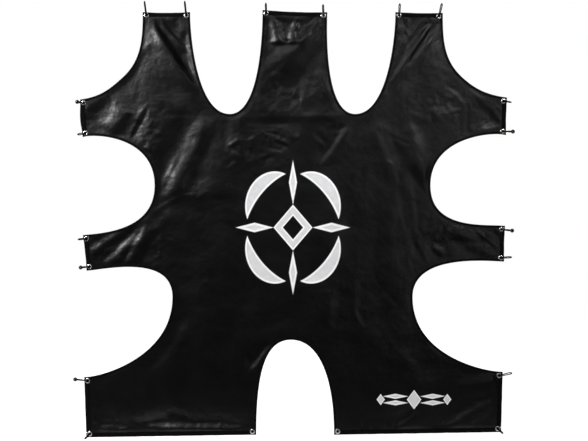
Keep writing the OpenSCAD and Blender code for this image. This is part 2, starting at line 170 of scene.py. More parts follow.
def math_node(tree, operation, *values):
    """One Math node; values are numbers or sockets."""
    node = tree.nodes.new("ShaderNodeMath")
    node.operation = operation
    for socket, value in zip(node.inputs, values):
        feed(tree, socket, value)
    return node.outputs[0]


def split_axes(tree, vector):
    """The three components of a vector."""
    node = tree.nodes.new("ShaderNodeSeparateXYZ")
    feed(tree, node.inputs[0], vector)
    return node.outputs


def point_value(tree, name):
    """A value that is painted on the mesh's points."""
    node = tree.nodes.new("ShaderNodeAttribute")
    node.attribute_name = name
    return node.outputs["Fac"]


def noise(tree, vector, scale, detail, distortion=0.0):
    """The grey value of a noise texture."""
    node = tree.nodes.new("ShaderNodeTexNoise")
    set_inputs(tree, node, Vector=vector, Scale=scale, Detail=detail, Distortion=distortion)
    return node.outputs[0]


def stretched(tree, vector, scale, turn=(0, 0, 0), shift=(0, 0, 0)):
    """Object or UV coordinates, shifted, turned and stretched."""
    node = tree.nodes.new("ShaderNodeMapping")
    set_inputs(tree, node, Vector=vector, Location=shift, Rotation=turn, Scale=scale)
    return node.outputs[0]


def between(tree, value, low, high, out_low, out_high):
    """Maps a value smoothly from one range to another and clamps it."""
    node = tree.nodes.new("ShaderNodeMapRange")
    node.interpolation_type = "SMOOTHSTEP"
    for socket, number in zip(node.inputs, (value, low, high, out_low, out_high)):
        feed(tree, socket, number)
    return node.outputs[0]


def blended(tree, factor, first, second):
    """One colour mixed into another; a plain colour is given as red, green and blue."""
    node = tree.nodes.new("ShaderNodeMix")
    node.data_type = "RGBA"
    for index, value in ((0, factor), (6, first), (7, second)):
        feed(tree, node.inputs[index], (*value, 1) if isinstance(value, tuple) else value)
    return node.outputs[2]


def new_group(name, inputs, outputs):
    """An empty node group with its sockets, and its input and output nodes."""
    tree = bpy.data.node_groups.new(name, "ShaderNodeTree")
    for title, kind, value in inputs:
        socket = tree.interface.new_socket(title, in_out="INPUT", socket_type=kind)
        if value is not None:
            socket.default_value = value
    for title, kind in outputs:
        tree.interface.new_socket(title, in_out="OUTPUT", socket_type=kind)
    start = tree.nodes.new("NodeGroupInput")
    end = tree.nodes.new("NodeGroupOutput")
    return tree, start.outputs, end.inputs


def use_group(tree, group, **values):
    """Places a node group; values are its inputs by name."""
    node = tree.nodes.new("ShaderNodeGroup")
    node.node_tree = group
    set_inputs(tree, node, **values)
    return node.outputs


def new_material(name):
    """A material with its Principled shader, and its two coordinate sockets."""
    material = bpy.data.materials.new(name)
    material.use_nodes = True
    tree = material.node_tree
    shader = tree.nodes["Principled BSDF"]
    coordinates = tree.nodes.new("ShaderNodeTexCoord")
    return material, tree, shader, coordinates.outputs["Object"], coordinates.outputs["UV"]


def bump_from(tree, shader, height, distance):
    """Feeds a height, in units of the distance, to the shader's normal."""
    node = tree.nodes.new("ShaderNodeBump")
    set_inputs(tree, node, Strength=1.0, Distance=distance, Height=height)
    feed(tree, shader.inputs["Normal"], node.outputs[0])


def added(tree, *heights):
    """The sum of several heights, each given as (socket, factor)."""
    total = None
    for socket, factor in heights:
        part = math_node(tree, "MULTIPLY", socket, factor)
        total = part if total is None else math_node(tree, "ADD", total, part)
    return total


# --- Shader groups ----------------------------------------------------------

FLOAT = "NodeSocketFloat"
VECTOR = "NodeSocketVector"
# One set of threads gives way to the other while the product of both sines is within this
THREAD_OVERLAP = 0.2
# Crumple ridges at two scales: [factor on the scale, share of the height, shift]
RIDGE_SCALES = ((1, 1.0, 0.0), (2.3, 0.45, 5.1))
RIDGE_SHARPNESS = 7


def weave_group():
    """A plain weave: two sets of threads that rise and sink by turns.

    A thread's height is the size of a sine across it. Where the product of both sines is
    above zero the first set lies on top, and the second set where it is below.
    """
    tree, given, result = new_group(
        "plain_weave", [("Vector", VECTOR, None), ("Pitch", FLOAT, 0.001)],
        [("Height", FLOAT)])
    m = partial(math_node, tree)
    along = split_axes(tree, given["Vector"])
    turns = m("DIVIDE", math.pi, given["Pitch"])
    sine_u = m("SINE", m("MULTIPLY", along[0], turns))
    sine_v = m("SINE", m("MULTIPLY", along[1], turns))
    over = between(tree, m("MULTIPLY", sine_u, sine_v), -THREAD_OVERLAP, THREAD_OVERLAP, 0, 1)
    first = m("MULTIPLY", m("ABSOLUTE", sine_u), over)
    second = m("MULTIPLY", m("ABSOLUTE", sine_v), m("SUBTRACT", 1, over))
    feed(tree, result["Height"], m("ADD", first, second))
    return tree


def ridge_group():
    """Sharp crumple ridges: one minus the size of a signed noise, at two scales."""
    tree, given, result = new_group(
        "crumple_ridges", [("Vector", VECTOR, None), ("Scale", FLOAT, 60)],
        [("Height", FLOAT)])
    m = partial(math_node, tree)
    parts = []
    for factor, share, shift in RIDGE_SCALES:
        vector = stretched(tree, given["Vector"], (1, 1, 1), shift=(shift, shift, shift))
        scale = m("MULTIPLY", given["Scale"], factor)
        signed = m("SUBTRACT", noise(tree, vector, scale, 1.5, distortion=0.4), 0.5)
        size = m("MULTIPLY", m("ABSOLUTE", signed), RIDGE_SHARPNESS)
        ridge = m("MAXIMUM", m("SUBTRACT", 1, size), 0)
        parts.append(m("MULTIPLY", ridge, share))
    feed(tree, result["Height"], m("ADD", *parts))
    return tree


WEAVE = weave_group()
RIDGES = ridge_group()


# --- Print on the sheet -----------------------------------------------------

# The sight is drawn in units of its half size, and SIGHT_UNIT turns these into metres
SIGHT_PLACE = (0.002, -0.892)
SIGHT_HALF = (0.2275, 0.267)
SIGHT_UNIT = 0.24
CRESCENT_R = 0.84
CRESCENT_BULGE = 0.05
CRESCENT_HALF_W = 0.115
CRESCENT_HALF_ANGLE = 0.63
OPEN_DIAMOND_R = 0.27
OPEN_DIAMOND_HALF_W = 0.085
TICK_SHARPNESS = 0.9
# Diamonds: [middle on the X axis, half width, half height]; the sight's own in its unit
TICK = (0.70, 0.34, 0.075)
ORNAMENT_PLACE = (0.503, -1.604)
ORNAMENT_MIDDLE = (0, 0.030, 0.040)
ORNAMENT_END = (0.138, 0.017, 0.023)
ORNAMENT_BAR = (0.077, 0.052, 0.0105)
ORNAMENT_BAR_Z = 0.0135
# Distances inside a shape between which its pale border ends and its grey begins
SIGHT_BORDER = (-0.0085, -0.0070)
ORNAMENT_BORDER = (-0.0062, -0.0050)
INK_EDGE = 0.0008


def print_group():
    """The printed aiming sight and the ornament, as masks over the sheet's X and Z.

    Each shape is a signed distance, below zero inside it. The sight has four crescents
    round its centre, four pointed ticks on its axes and an open diamond. A crescent is a
    ring that bulges on its diagonal and narrows with the square of the angle from it.
    The ornament has a diamond between pointed bars with a small diamond at each end.
    """
    tree, given, result = new_group(
        "sight_print", [("Vector", VECTOR, None)], [("Ink", FLOAT), ("Border", FLOAT)])
    m = partial(math_node, tree)
    place = split_axes(tree, given["Vector"])

    def centred(centre, half):
        """The sizes of X and Z from a centre, in units of the half size."""
        x = m("DIVIDE", m("SUBTRACT", place[0], centre[0]), half[0])
        z = m("DIVIDE", m("SUBTRACT", place[2], centre[1]), half[1])
        return m("ABSOLUTE", x), m("ABSOLUTE", z)

    def diamond(x, z, x_at, half_x, half_z):
        """Distance to a diamond centred on the X axis, in units of its half height."""
        side = m("DIVIDE", m("ABSOLUTE", m("SUBTRACT", x, x_at)), half_x)
        sum_of = m("ADD", side, m("DIVIDE", z, half_z))
        return m("MULTIPLY", m("SUBTRACT", sum_of, 1), half_z)

    x, z = centred(SIGHT_PLACE, SIGHT_HALF)
    radius = m("SQRT", m("ADD", m("MULTIPLY", x, x), m("MULTIPLY", z, z)))
    from_diagonal = m("ABSOLUTE", m("SUBTRACT", m("ARCTAN2", z, x), math.pi / 4))
    share = m("DIVIDE", from_diagonal, CRESCENT_HALF_ANGLE)
    narrowing = m("SUBTRACT", 1, m("POWER", share, 2))
    middle_r = m("ADD", CRESCENT_R, m("MULTIPLY", narrowing, CRESCENT_BULGE))
    from_middle = m("ABSOLUTE", m("SUBTRACT", radius, middle_r))
    crescents = m("SUBTRACT", from_middle, m("MULTIPLY", narrowing, CRESCENT_HALF_W))
    ticks = diamond(m("MAXIMUM", x, z), m("MINIMUM", x, z), *TICK)
    ticks = m("MULTIPLY", ticks, TICK_SHARPNESS)
    from_diamond = m("ABSOLUTE", m("SUBTRACT", m("ADD", x, z), OPEN_DIAMOND_R))
    open_diamond = m("SUBTRACT", from_diamond, OPEN_DIAMOND_HALF_W)
    sight = m("MINIMUM", m("MINIMUM", crescents, ticks), open_diamond)
    sight = m("MULTIPLY", sight, SIGHT_UNIT)

    x, z = centred(ORNAMENT_PLACE, (1, 1))
    middle = diamond(x, z, *ORNAMENT_MIDDLE)
    end = diamond(x, z, *ORNAMENT_END)
    bar = diamond(x, m("ABSOLUTE", m("SUBTRACT", z, ORNAMENT_BAR_Z)), *ORNAMENT_BAR)
    ornament = m("MINIMUM", m("MINIMUM", middle, end), bar)

    both = m("MINIMUM", sight, ornament)
    feed(tree, result["Ink"], between(tree, both, -INK_EDGE, INK_EDGE, 1, 0))
    sight_border = between(tree, sight, *SIGHT_BORDER, 0, 1)
    ornament_border = between(tree, ornament, *ORNAMENT_BORDER, 0, 1)
    feed(tree, result["Border"], m("MINIMUM", sight_border, ornament_border))
    return tree


# --- Materials --------------------------------------------------------------

# Heights of the sheet's relief in millimetres
RIDGE_H = 0.16
RIPPLE_H = 4.0
SOFT_H = 3.4
THREAD_H = 0.012
# The width of a ripple beside a hem as a share of its length
RIPPLE_STRETCH = 0.16
RIPPLE_SCALE = 75
# How much rougher the ink is than the cloth
INK_ROUGHER = 0.15
CLOTH_PITCH = 0.0011
BRAID_PITCH = 0.00075


def sheet_material():
    """Black coated polyester, satin, with white ink: weave, crumples and hem ripples."""
    material, tree, shader, place, _ = new_material("coated_black_cloth")
    m = partial(math_node, tree)
    axes = split_axes(tree, place)
    on_sheet = tree.nodes.new("ShaderNodeCombineXYZ")
    set_inputs(tree, on_sheet, X=axes[0], Y=axes[2])
    plane = on_sheet.outputs[0]

    ink = use_group(tree, print_group(), Vector=place)
    inked = m("MULTIPLY", ink["Ink"], point_value(tree, "printed_side"))
    cloudy = between(tree, noise(tree, plane, 5, 4), 0.3, 0.7, 0, 1)
    cloth = blended(tree, cloudy, (0.0009, 0.0009, 0.0011), (0.0017, 0.0016, 0.0019))
    patchy = between(tree, noise(tree, plane, 42, 5), 0.3, 0.75, 0, 1)
    grey = blended(tree, patchy, (0.69, 0.69, 0.70), (0.76, 0.76, 0.77))
    printed = blended(tree, ink["Border"], grey, (0.94, 0.94, 0.94))
    rubbed = between(tree, noise(tree, plane, 14, 6), 0.3, 0.7, 0.34, 0.38)
    rough = m("ADD", rubbed, m("MULTIPLY", inked, INK_ROUGHER))
    set_inputs(tree, shader, Base_Color=blended(tree, inked, cloth, printed),
               Roughness=rough, Specular_IOR_Level=0.42)

    crumple = point_value(tree, "crumple")
    ridges = use_group(tree, RIDGES, Vector=plane, Scale=34.0)["Height"]
    ridges = m("MULTIPLY", ridges, crumple)
    heights = [(ridges, RIDGE_H)]
    for name, scale in (("ripple_x", (1, RIPPLE_STRETCH, 1)), ("ripple_z", (RIPPLE_STRETCH, 1, 1))):
        ripple = noise(tree, stretched(tree, plane, scale), RIPPLE_SCALE, 1)
        heights.append((m("MULTIPLY", ripple, point_value(tree, name)), RIPPLE_H))
    soft = m("MULTIPLY", noise(tree, plane, 20, 2), between(tree, crumple, 0.1, 0.8, 0.8, 1.15))
    weave = use_group(tree, WEAVE, Vector=plane, Pitch=CLOTH_PITCH)["Height"]
    height = added(tree, *heights, (soft, SOFT_H), (weave, THREAD_H))
    bump_from(tree, shader, height, MM)
    return material


def woven_material(name, dark, light, roughness, pitch, relief, ribs):
    """Woven tape: a weave along its own length, ribs across it and a little lint, with shade painted into the gaps
    between its threads.
    """
    material, tree, shader, _, along = new_material(name)
    weave = use_group(tree, WEAVE, Vector=along, Pitch=pitch)["Height"]
    rows = tree.nodes.new("ShaderNodeTexWave")
    rows.bands_direction = "Y"
    set_inputs(tree, rows, Vector=stretched(tree, along, (0, 1, 1)), Scale=ribs)
    lint = noise(tree, along, 300, 4)
    worn = between(tree, noise(tree, along, 30, 3), 0.35, 0.7, 0.4, 1)
    # Colour follows the thread height, so the gaps between threads get painted shade; the worn noise adds real
    # darker patches
    gap_shade_and_wear = math_node(tree, "MULTIPLY", weave, worn)
    rough = between(tree, lint, 0.3, 0.7, roughness - 0.08, roughness + 0.08)
    set_inputs(tree, shader, Base_Color=blended(tree, gap_shade_and_wear, (dark,) * 3, (light,) * 3),
               Roughness=rough, Specular_IOR_Level=0.1)
    bump_from(tree, shader, added(tree, (weave, 1.0), (rows.outputs[1], 0.5), (lint, 0.4)), relief)
    return material


def nickel_material():
    """Nickel plate: bright, faintly brushed, with small stains and handling marks."""
    material, tree, shader, place, _ = new_material("nickel_plate")
    stain = noise(tree, place, 160, 5)
    brushed = noise(tree, stretched(tree, place, (1, 1, 0.12)), 2600, 2)
    stained = between(tree, stain, 0.35, 0.75, 0, 1)
    colour = blended(tree, stained, (0.86, 0.85, 0.83), (0.66, 0.64, 0.61))
    rough = added(tree, (between(tree, stain, 0.3, 0.8, 0.16, 0.34), 1.0), (brushed, 0.10))
    set_inputs(tree, shader, Base_Color=colour, Roughness=rough, Metallic=1.0)
    bump_from(tree, shader, brushed, 0.02 * MM)
    return material


def elastic_material():
    """Braided cover of an elastic cord: two sets of strands that cross on the diagonal, with shade painted between
    the strands.
    """
    material, tree, shader, _, along = new_material("braided_elastic")
    diagonal = stretched(tree, along, (1, 1, 1), turn=(0, 0, math.radians(45)))
    strands = use_group(tree, WEAVE, Vector=diagonal, Pitch=BRAID_PITCH)["Height"]
    fuzz = noise(tree, along, 900, 3)
    # Colour follows the strand height: painted shade darkens the gaps between strands
    set_inputs(tree, shader, Base_Color=blended(tree, strands, (0.001,) * 3, (0.005,) * 3),
               Roughness=between(tree, fuzz, 0.3, 0.7, 0.7, 0.9), Specular_IOR_Level=0.1)
    bump_from(tree, shader, added(tree, (strands, 1.0), (fuzz, 0.2)), 0.25 * MM)
    return material


def bead_material():
    """Moulded black plastic, glossy, with a fine orange peel and scuffed patches."""
    material, tree, shader, place, _ = new_material("black_moulded_plastic")
    peel = noise(tree, place, 700, 2)
    scuffs = noise(tree, stretched(tree, place, (1, 1, 0.3)), 220, 6)
    worn = between(tree, scuffs, 0.55, 0.72, 0, 1)
    set_inputs(tree, shader,
               Base_Color=blended(tree, worn, (0.004, 0.004, 0.004), (0.014, 0.014, 0.015)),
               Roughness=between(tree, worn, 0, 1, 0.26, 0.5))
    bump_from(tree, shader, peel, 0.06 * MM)
    return material


CLOTH = sheet_material()
HEM_WEB = woven_material("hem_webbing", dark=0.0009, light=0.0028, roughness=0.86,
                         pitch=0.0014, relief=0.12 * MM, ribs=500)
BIND_TAPE = woven_material("binding_tape", dark=0.0009, light=0.0032, roughness=0.8,
                           pitch=0.0009, relief=0.1 * MM, ribs=700)
THREAD = woven_material("sewing_thread", dark=0.004, light=0.012, roughness=0.6,
                        pitch=0.0004, relief=0.04 * MM, ribs=900)
NICKEL = nickel_material()
ELASTIC = elastic_material()
PLASTIC = bead_material()


# --- Ties: the same routes as the solids, as smooth braided cords -------------

CORD_R = 2 * MM
# The braided cover stands a little fuller than the solid cord
COVER_R = 2.2 * MM
CORD_SIDES = 14
CORD_STEP = 1.3 * MM
BALL_R = 8.5 * MM
BALL_SIDES = 36
# The ball's girth, rounded, for its surface coordinates
BALL_GIRTH = 0.05
# Cords bend on circles of this radius, and HALF_TURN is the sine of 45 degrees, rounded
BEND_R = 6 * MM
HALF_TURN = 0.7
SEAT_GAP = 0.3 * MM
# Each strand of a pair lies this far from the middle between them
PAIR_Z = CORD_R + SEAT_GAP
BALL_HOLE_R = PAIR_Z + CORD_R + SEAT_GAP
EYELET_R = 5.5 * MM
LIP_ROUND = 0.4 * MM
LIP_DEPTH = 2.7 * MM
# The ball of a looped tie rests on the rounded lip behind the sheet
BALL_Y = LIP_DEPTH + math.sqrt((BALL_R + SEAT_GAP) ** 2 - (EYELET_R + LIP_ROUND) ** 2)
# A loop's front strand and the middle of its turn stand this far before the sheet
FAR_Y = 3 * BEND_R
MID_Y = 2 * BEND_R
# A balled tie crosses its eyelet at this X, and its strands enter the ball this far off
# its axis in Y and in Z
EYELET_X = 2.6 * MM
SPLAY = 1.7 * MM
# Its strands stay apart until they have passed the hem's edge
HEM_CLEAR_X = 17.5 * MM
SEAM_H = 0.12 * MM
SEAM_HALF_ANGLE = 0.035
MOUTH_ROUND = 0.5 * MM
# Radius at which a turned section stops short of its axis
POLE_R = 0.02 * MM
# Ties: [body, kind, reach from the eyelet in mm, heading in the sheet's plane in degrees]
TIES = [
    ("top_tie_1", "loop", 58, 97), ("top_tie_2", "loop", 58, 96),
    ("top_tie_3", "loop", 42, 92), ("top_tie_4", "loop", 44, 93),
    ("top_tie_5", "loop", 48, 88), ("top_tie_6", "loop", 53, 78),
    ("right_tie_1", "loop", 32, -11), ("right_tie_2", "ball", 42, -1),
    ("right_tie_3", "ball", 44, -6), ("right_tie_4", "loop", 44, 4),
    ("right_tie_5", "loop", 53, 13), ("right_tie_6", "loop", 28, -42),
    ("left_tie_1", "ball", 27, 170), ("left_tie_2", "loop", 34, 192),
    ("left_tie_3", "loop", 35, 187), ("left_tie_4", "ball", 37, 186),
    ("left_tie_5", "ball", 52, 174), ("left_tie_6", "loop", 28, 226)]
JOINT_AT = {joint["child"]: np.array(joint["pos_m"]) for joint in frame["joints"]}


def loop_route(reach):
    """Route of a looped tie: out of the ball, through the eyelet, round and back.

    Its strands lie about a cord's radius each way of its middle and meet at the turn.
    """
    x = reach - CORD_R - BEND_R
    w = HALF_TURN * BEND_R
    half = mix(BEND_R, x, 0.5)
    return np.array([
        [0, BALL_Y, -PAIR_Z], [0, 0, -PAIR_Z],
        [0.3 * BEND_R, -HALF_TURN * BEND_R, -PAIR_Z],
        [0.95 * BEND_R, -1.25 * BEND_R, -2.2 * MM],
        [half, -0.85 * FAR_Y, -2.1 * MM], [x, -FAR_Y, -2.0 * MM],
        [x + w, -MID_Y - w, -1.3 * MM], [x + BEND_R, -MID_Y, 0],
        [x + w, -MID_Y + w, 1.3 * MM], [x, -BEND_R, 2.0 * MM],
        [half, -BEND_R, 2.1 * MM], [BEND_R, -BEND_R, 2.2 * MM],
        [0.3 * BEND_R, -HALF_TURN * BEND_R, PAIR_Z], [0, 0, PAIR_Z], [0, BALL_Y, PAIR_Z]])


def ball_route(reach):
    """Route of a balled tie: from the ball round the hem's edge, both sides of the sheet."""
    x = max(HEM_CLEAR_X, mix(EYELET_X + BEND_R, reach - 8 * MM, 0.75))
    half = np.array([
        [reach, -SPLAY, -SPLAY], [reach - BALL_R + 1.1 * MM, -SPLAY, -SPLAY],
        [x, -3.9 * MM, -2.0 * MM],
        [mix(EYELET_X + BEND_R, x, 0.5), -0.9 * BEND_R, -1.7 * MM],
        [EYELET_X + BEND_R, -BEND_R, -1.0 * MM],
        [EYELET_X + 0.3 * BEND_R, -HALF_TURN * BEND_R, -0.2 * MM]])
    other = half[::-1] * np.array([1, -1, -1])
    return np.concatenate([half, [[EYELET_X, 0, 0]], other])


def rounded_route(points, steps=12):
    """A smooth curve through the points, made of cubic pieces.

    The slope at a point is the mean of its two chords' slopes, each weighed with the
    length of the other chord.
    """
    extended = np.concatenate([[2 * points[0] - points[1]], points,
                               [2 * points[-1] - points[-2]]])
    lengths = np.linalg.norm(np.diff(extended, axis=0), axis=-1)
    pieces = []
    t = np.linspace(0, 1, steps, endpoint=False)[:, None]
    for i in range(1, len(extended) - 2):
        before, span, after = lengths[i - 1], lengths[i], lengths[i + 1]
        a, b = extended[i], extended[i + 1]
        slope_a = ((a - extended[i - 1]) / before * span + (b - a) / span * before) / (before + span)
        slope_b = ((b - a) / span * after + (extended[i + 2] - b) / after * span) / (span + after)
        slope_a = slope_a * span
        slope_b = slope_b * span
        pieces.append(a * (2 * t ** 3 - 3 * t ** 2 + 1) + slope_a * (t ** 3 - 2 * t ** 2 + t)
                      + b * (3 * t ** 2 - 2 * t ** 3) + slope_b * (t ** 3 - t ** 2))
    return np.concatenate(pieces + [points[-1:]])


def placed(points, eyelet, heading):
    """Turns points drawn along X to a heading in the sheet's plane, and moves them."""
    c = math.cos(math.radians(heading))
    s = math.sin(math.radians(heading))
    turned = np.stack([points[..., 0] * c - points[..., 2] * s, points[..., 1],
                       points[..., 0] * s + points[..., 2] * c], axis=-1)
    return turned + eyelet


def cord_rings(path, radius, sides):
    """Rings square to a path, carried along it with the least twist."""
    tangents = unit(np.gradient(path, axis=0))
    start = unit(np.cross(tangents[0], [0.3, 0.1, 0.9]))
    normals = [start]
    for tangent in tangents[1:]:
        kept = normals[-1] - tangent * np.dot(normals[-1], tangent)
        normals.append(kept / np.linalg.norm(kept))
    normals = np.array(normals)
    sideways = np.cross(tangents, normals)
    angle = np.linspace(0, 2 * math.pi, sides, endpoint=False)[None, :, None]
    return path[:, None] + radius * (np.cos(angle) * normals[:, None]
                                     + np.sin(angle) * sideways[:, None])


def make_ball(name, centre, axis, body):
    """A moulded ball with a blind socket: a profile turned round the socket's axis.

    The profile is a circle with a low seam at its middle, a rounded socket mouth, the
    socket's wall and its floor.
    """
    mouth = math.asin((BALL_HOLE_R + MOUTH_ROUND) / BALL_R)
    angle = np.linspace(math.pi, mouth, 40)
    seam = SEAM_H * np.exp(-((angle - math.pi / 2) / SEAM_HALF_ANGLE) ** 2)
    outer = np.stack([(BALL_R + seam) * np.sin(angle), (BALL_R + seam) * np.cos(angle)], -1)
    mouth_z = BALL_R * math.cos(mouth)
    bend = np.linspace(0.25, 1, 5) * math.pi / 2
    lip = np.stack([BALL_HOLE_R + MOUTH_ROUND * (1 - np.sin(bend)),
                    mouth_z - 0.1 * MM + 0.3 * MM * np.cos(bend)], -1)
    wall = np.stack([np.full(5, BALL_HOLE_R), np.linspace(mouth_z - 0.8 * MM, 0.3 * MM, 5)], -1)
    floor = np.stack([np.linspace(BALL_HOLE_R - 0.3 * MM, POLE_R, 5), np.zeros(5)], -1)
    profile = np.concatenate([outer, lip, wall, floor])
    profile[0, 0] = POLE_R
    turn = np.linspace(0, 2 * math.pi, BALL_SIDES, endpoint=False)
    axis = unit(np.array(axis, dtype=float))
    side = unit(np.cross(axis, [0.2, 0.5, 0.84]))
    other = np.cross(axis, side)
    ring = np.cos(turn)[:, None] * side + np.sin(turn)[:, None] * other
    rings = (centre + profile[:, 0][:, None, None] * ring[None]
             + profile[:, 1][:, None, None] * axis)
    around = np.linspace(0, BALL_GIRTH, BALL_SIDES + 1)
    faces, uv = tube(rings, distances(profile), around)
    piece = mesh_piece(name, rings, faces, PLASTIC, uv)
    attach(piece, body)
    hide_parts(body + "_ball")
    return piece


def make_tie(body, kind, reach, heading):
    """One tie: its braided cord and the ball that holds both of the cord's ends."""
    eyelet = JOINT_AT[body]
    reach = reach * MM
    if kind == "loop":
        route = loop_route(reach)
        centre = np.array([0, BALL_Y, 0])
        axis = np.array([0, -1, 0])
    else:
        route = ball_route(reach)
        centre = np.array([reach, 0, 0])
        axis = np.array([-1, 0, 0])
    path = placed(evenly(rounded_route(route), CORD_STEP), eyelet, heading)
    ball = make_ball(body + "_bead", placed(centre, eyelet, heading),
                     placed(axis, np.zeros(3), heading), body)
    rings = cord_rings(path, COVER_R, CORD_SIDES)
    around = np.linspace(0, 2 * math.pi * COVER_R, CORD_SIDES + 1)
    faces, uv = tube(rings, distances(path), around)
    cord = mesh_piece(body + "_elastic", rings, faces, ELASTIC, uv)
    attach(cord, body)
    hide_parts(body + "_cord")


for tie in TIES:
    make_tie(*tie)


# --- Outline of the sheet -----------------------------------------------------

EYELET_IN = 14 * MM
EYELET_SIDE = 15.5 * MM
HEM_W = 26 * MM
BINDING_W = 10 * MM
OUTLINE_STEP = 4 * MM


def mount_at(name):
    """The place of one of the record's mounts."""
    found = [m for m in frame["record"]["mounts"] if m["name"] == name]
    return np.array(found[0]["pos_m"])


def to_right(v):
    """Directions in the sheet, turned a quarter turn to their right."""
    return np.stack([v[..., 1], -v[..., 0]], axis=-1)


TOP = [JOINT_AT[f"top_tie_{i}"][[0, 2]] for i in range(1, 7)]
RIGHT = [JOINT_AT[f"right_tie_{i}"][[0, 2]] for i in range(1, 7)]
LEFT = [JOINT_AT[f"left_tie_{i}"][[0, 2]] for i in range(1, 7)]
RIGHT_FOOT_EYE = mount_at("right_foot_eyelet")[[0, 2]]
LEFT_FOOT_EYE = mount_at("left_foot_eyelet")[[0, 2]]
# The eyelets of each tab, clockwise from the top left as seen from the front
TAB_EYES = [TOP[0:2], TOP[2:4], TOP[4:6], RIGHT[0:2], RIGHT[2:4],
            [RIGHT[4], RIGHT[5], RIGHT_FOOT_EYE], [LEFT_FOOT_EYE, LEFT[5], LEFT[4]],
            [LEFT[3], LEFT[2]], [LEFT[1], LEFT[0]]]


def tab_corners(eyes):
    """A tab's corners, clockwise, found from its eyelets and their fixed insets."""
    first = unit(eyes[1] - eyes[0])
    last = unit(eyes[-1] - eyes[-2])
    corners = [eyes[0] - EYELET_SIDE * first - EYELET_IN * to_right(first)]
    if len(eyes) == 3:
        corners.append(eyes[1] - EYELET_IN * (to_right(first) + to_right(last)))
    corners.append(eyes[-1] + EYELET_SIDE * last - EYELET_IN * to_right(last))
    return corners


CORNERS = [tab_corners(eyes) for eyes in TAB_EYES]

# Halves of openings: [handle at the tab, its flare in degrees, handle at the inmost point]
NOTCH_OUTER = (0.120, 0, 0.130)
NOTCH_INNER = (0.040, 0, 0.135)
CORNER_TOP = (0.120, 0, 0.105)
CORNER_SIDE = (0.085, -8, 0.070)
UPPER_BAY_TOP = (0.045, 20, 0.208)
UPPER_BAY_BOTTOM = (0.080, -6, 0.188)
LOWER_BAY_TOP = (0.055, 0, 0.185)
LOWER_BAY_BOTTOM = (0.075, 0, 0.245)
ARCH_HALF = (0.250, 0, 0.110)
# Openings, each between the tab of its own number and the next: [node, inmost point,
# heading there, half before it, half after it, inward heading at the tab before, inward
# heading at the tab after]
CUTS = [
    ("left_notch", (-0.260, -0.422), 0, NOTCH_OUTER, NOTCH_INNER, 270, 270),
    ("right_notch", (0.260, -0.422), 0, NOTCH_INNER, NOTCH_OUTER, 270, 270),
    ("right_corner", (0.706, -0.273), -42, CORNER_TOP, CORNER_SIDE, 270, 180),
    ("right_upper_bay", (0.571, -0.718), -90, UPPER_BAY_TOP, UPPER_BAY_BOTTOM, 180, 180),
    ("right_lower_bay", (0.497, -1.180), -90, LOWER_BAY_TOP, LOWER_BAY_BOTTOM, 180, 180),
    ("arch", (-0.006, -1.357), 180, ARCH_HALF, ARCH_HALF, 90, 90),
    ("left_lower_bay", (-0.497, -1.180), 90, LOWER_BAY_BOTTOM, LOWER_BAY_TOP, 0, 0),
    ("left_upper_bay", (-0.571, -0.718), 90, UPPER_BAY_BOTTOM, UPPER_BAY_TOP, 0, 0),
    ("left_corner", (-0.706, -0.273), 42, CORNER_SIDE, CORNER_TOP, 0, 270)]


def direction_of(angle):
    """The direction of an angle in the sheet: 0 is +X and 90 is +Z."""
    return np.array([math.cos(math.radians(angle)), math.sin(math.radians(angle))])


def cubic(points, t):
    """A cubic curve through its first and last control points."""
    a, b, c, d = [np.asarray(p) for p in points]
    t = t[:, None]
    return (1 - t) ** 3 * a + 3 * (1 - t) ** 2 * t * b + 3 * (1 - t) * t ** 2 * c + t ** 3 * d


def cut_curve(k):
    """The edge of one opening, as two cubic curves joined at its inmost point."""
    tip, heading, before, after, into_before, into_after = CUTS[k][1:]
    tip = np.array(tip)
    ahead = direction_of(heading)
    a = CORNERS[k][-1]
    b = CORNERS[(k + 1) % len(CUTS)][0]
    t = np.linspace(0, 1, 400)
    first = cubic([a, a + before[0] * direction_of(into_before - before[1]),
                   tip - before[2] * ahead, tip], t)
    second = cubic([tip, tip + after[2] * ahead,
                    b + after[0] * direction_of(into_after + after[1]), b], t[1:])
    return evenly(np.concatenate([first, second[1:]]), OUTLINE_STEP)


CUT_CURVES = [cut_curve(k) for k in range(len(CUTS))]
OUTLINE = np.concatenate([
    np.concatenate([evenly(np.array(CORNERS[k]), OUTLINE_STEP)[:-1], CUT_CURVES[k][:-1]])
    for k in range(len(CUTS))])
OUTLINE_NEXT = np.roll(OUTLINE, -1, axis=0)
OUTLINE_INWARD = to_right(unit(OUTLINE_NEXT - np.roll(OUTLINE, 1, axis=0)))
EYES = np.array([eye for eyes in TAB_EYES for eye in eyes])


def in_chunks(function, points, size=4000):
    """Runs a function over long arrays of points in pieces, to save memory."""
    flat = points.reshape(-1, 2)
    parts = [function(flat[i:i + size]) for i in range(0, len(flat), size)]
    return np.concatenate(parts)


def nearest_edge(points):
    """Index of the outline's point nearest to each point."""
    near = in_chunks(lambda p: np.argmin(
        (p[:, None, 0] - OUTLINE[None, :, 0]) ** 2 + (p[:, None, 1] - OUTLINE[None, :, 1]) ** 2,
        axis=1), points)
    return near.reshape(points.shape[:-1])


def is_inside(points):
    """True for points inside the outline, by counting its crossings to the right."""
    a = OUTLINE
    b = OUTLINE_NEXT

    def crossings(p):
        """True where an odd number of outline pieces crosses the line to the right."""
        x, z = p[:, :1], p[:, 1:]
        spans = (a[None, :, 1] > z) != (b[None, :, 1] > z)
        rise = np.where(b[:, 1] == a[:, 1], 1e-12, b[:, 1] - a[:, 1])
        at = a[:, 0] + (z - a[:, 1]) * (b[:, 0] - a[:, 0]) / rise
        return (np.sum(spans & (x < at), axis=1) % 2).astype(bool)

    return in_chunks(crossings, points).reshape(points.shape[:-1])


# --- Folds of the sheet -------------------------------------------------------

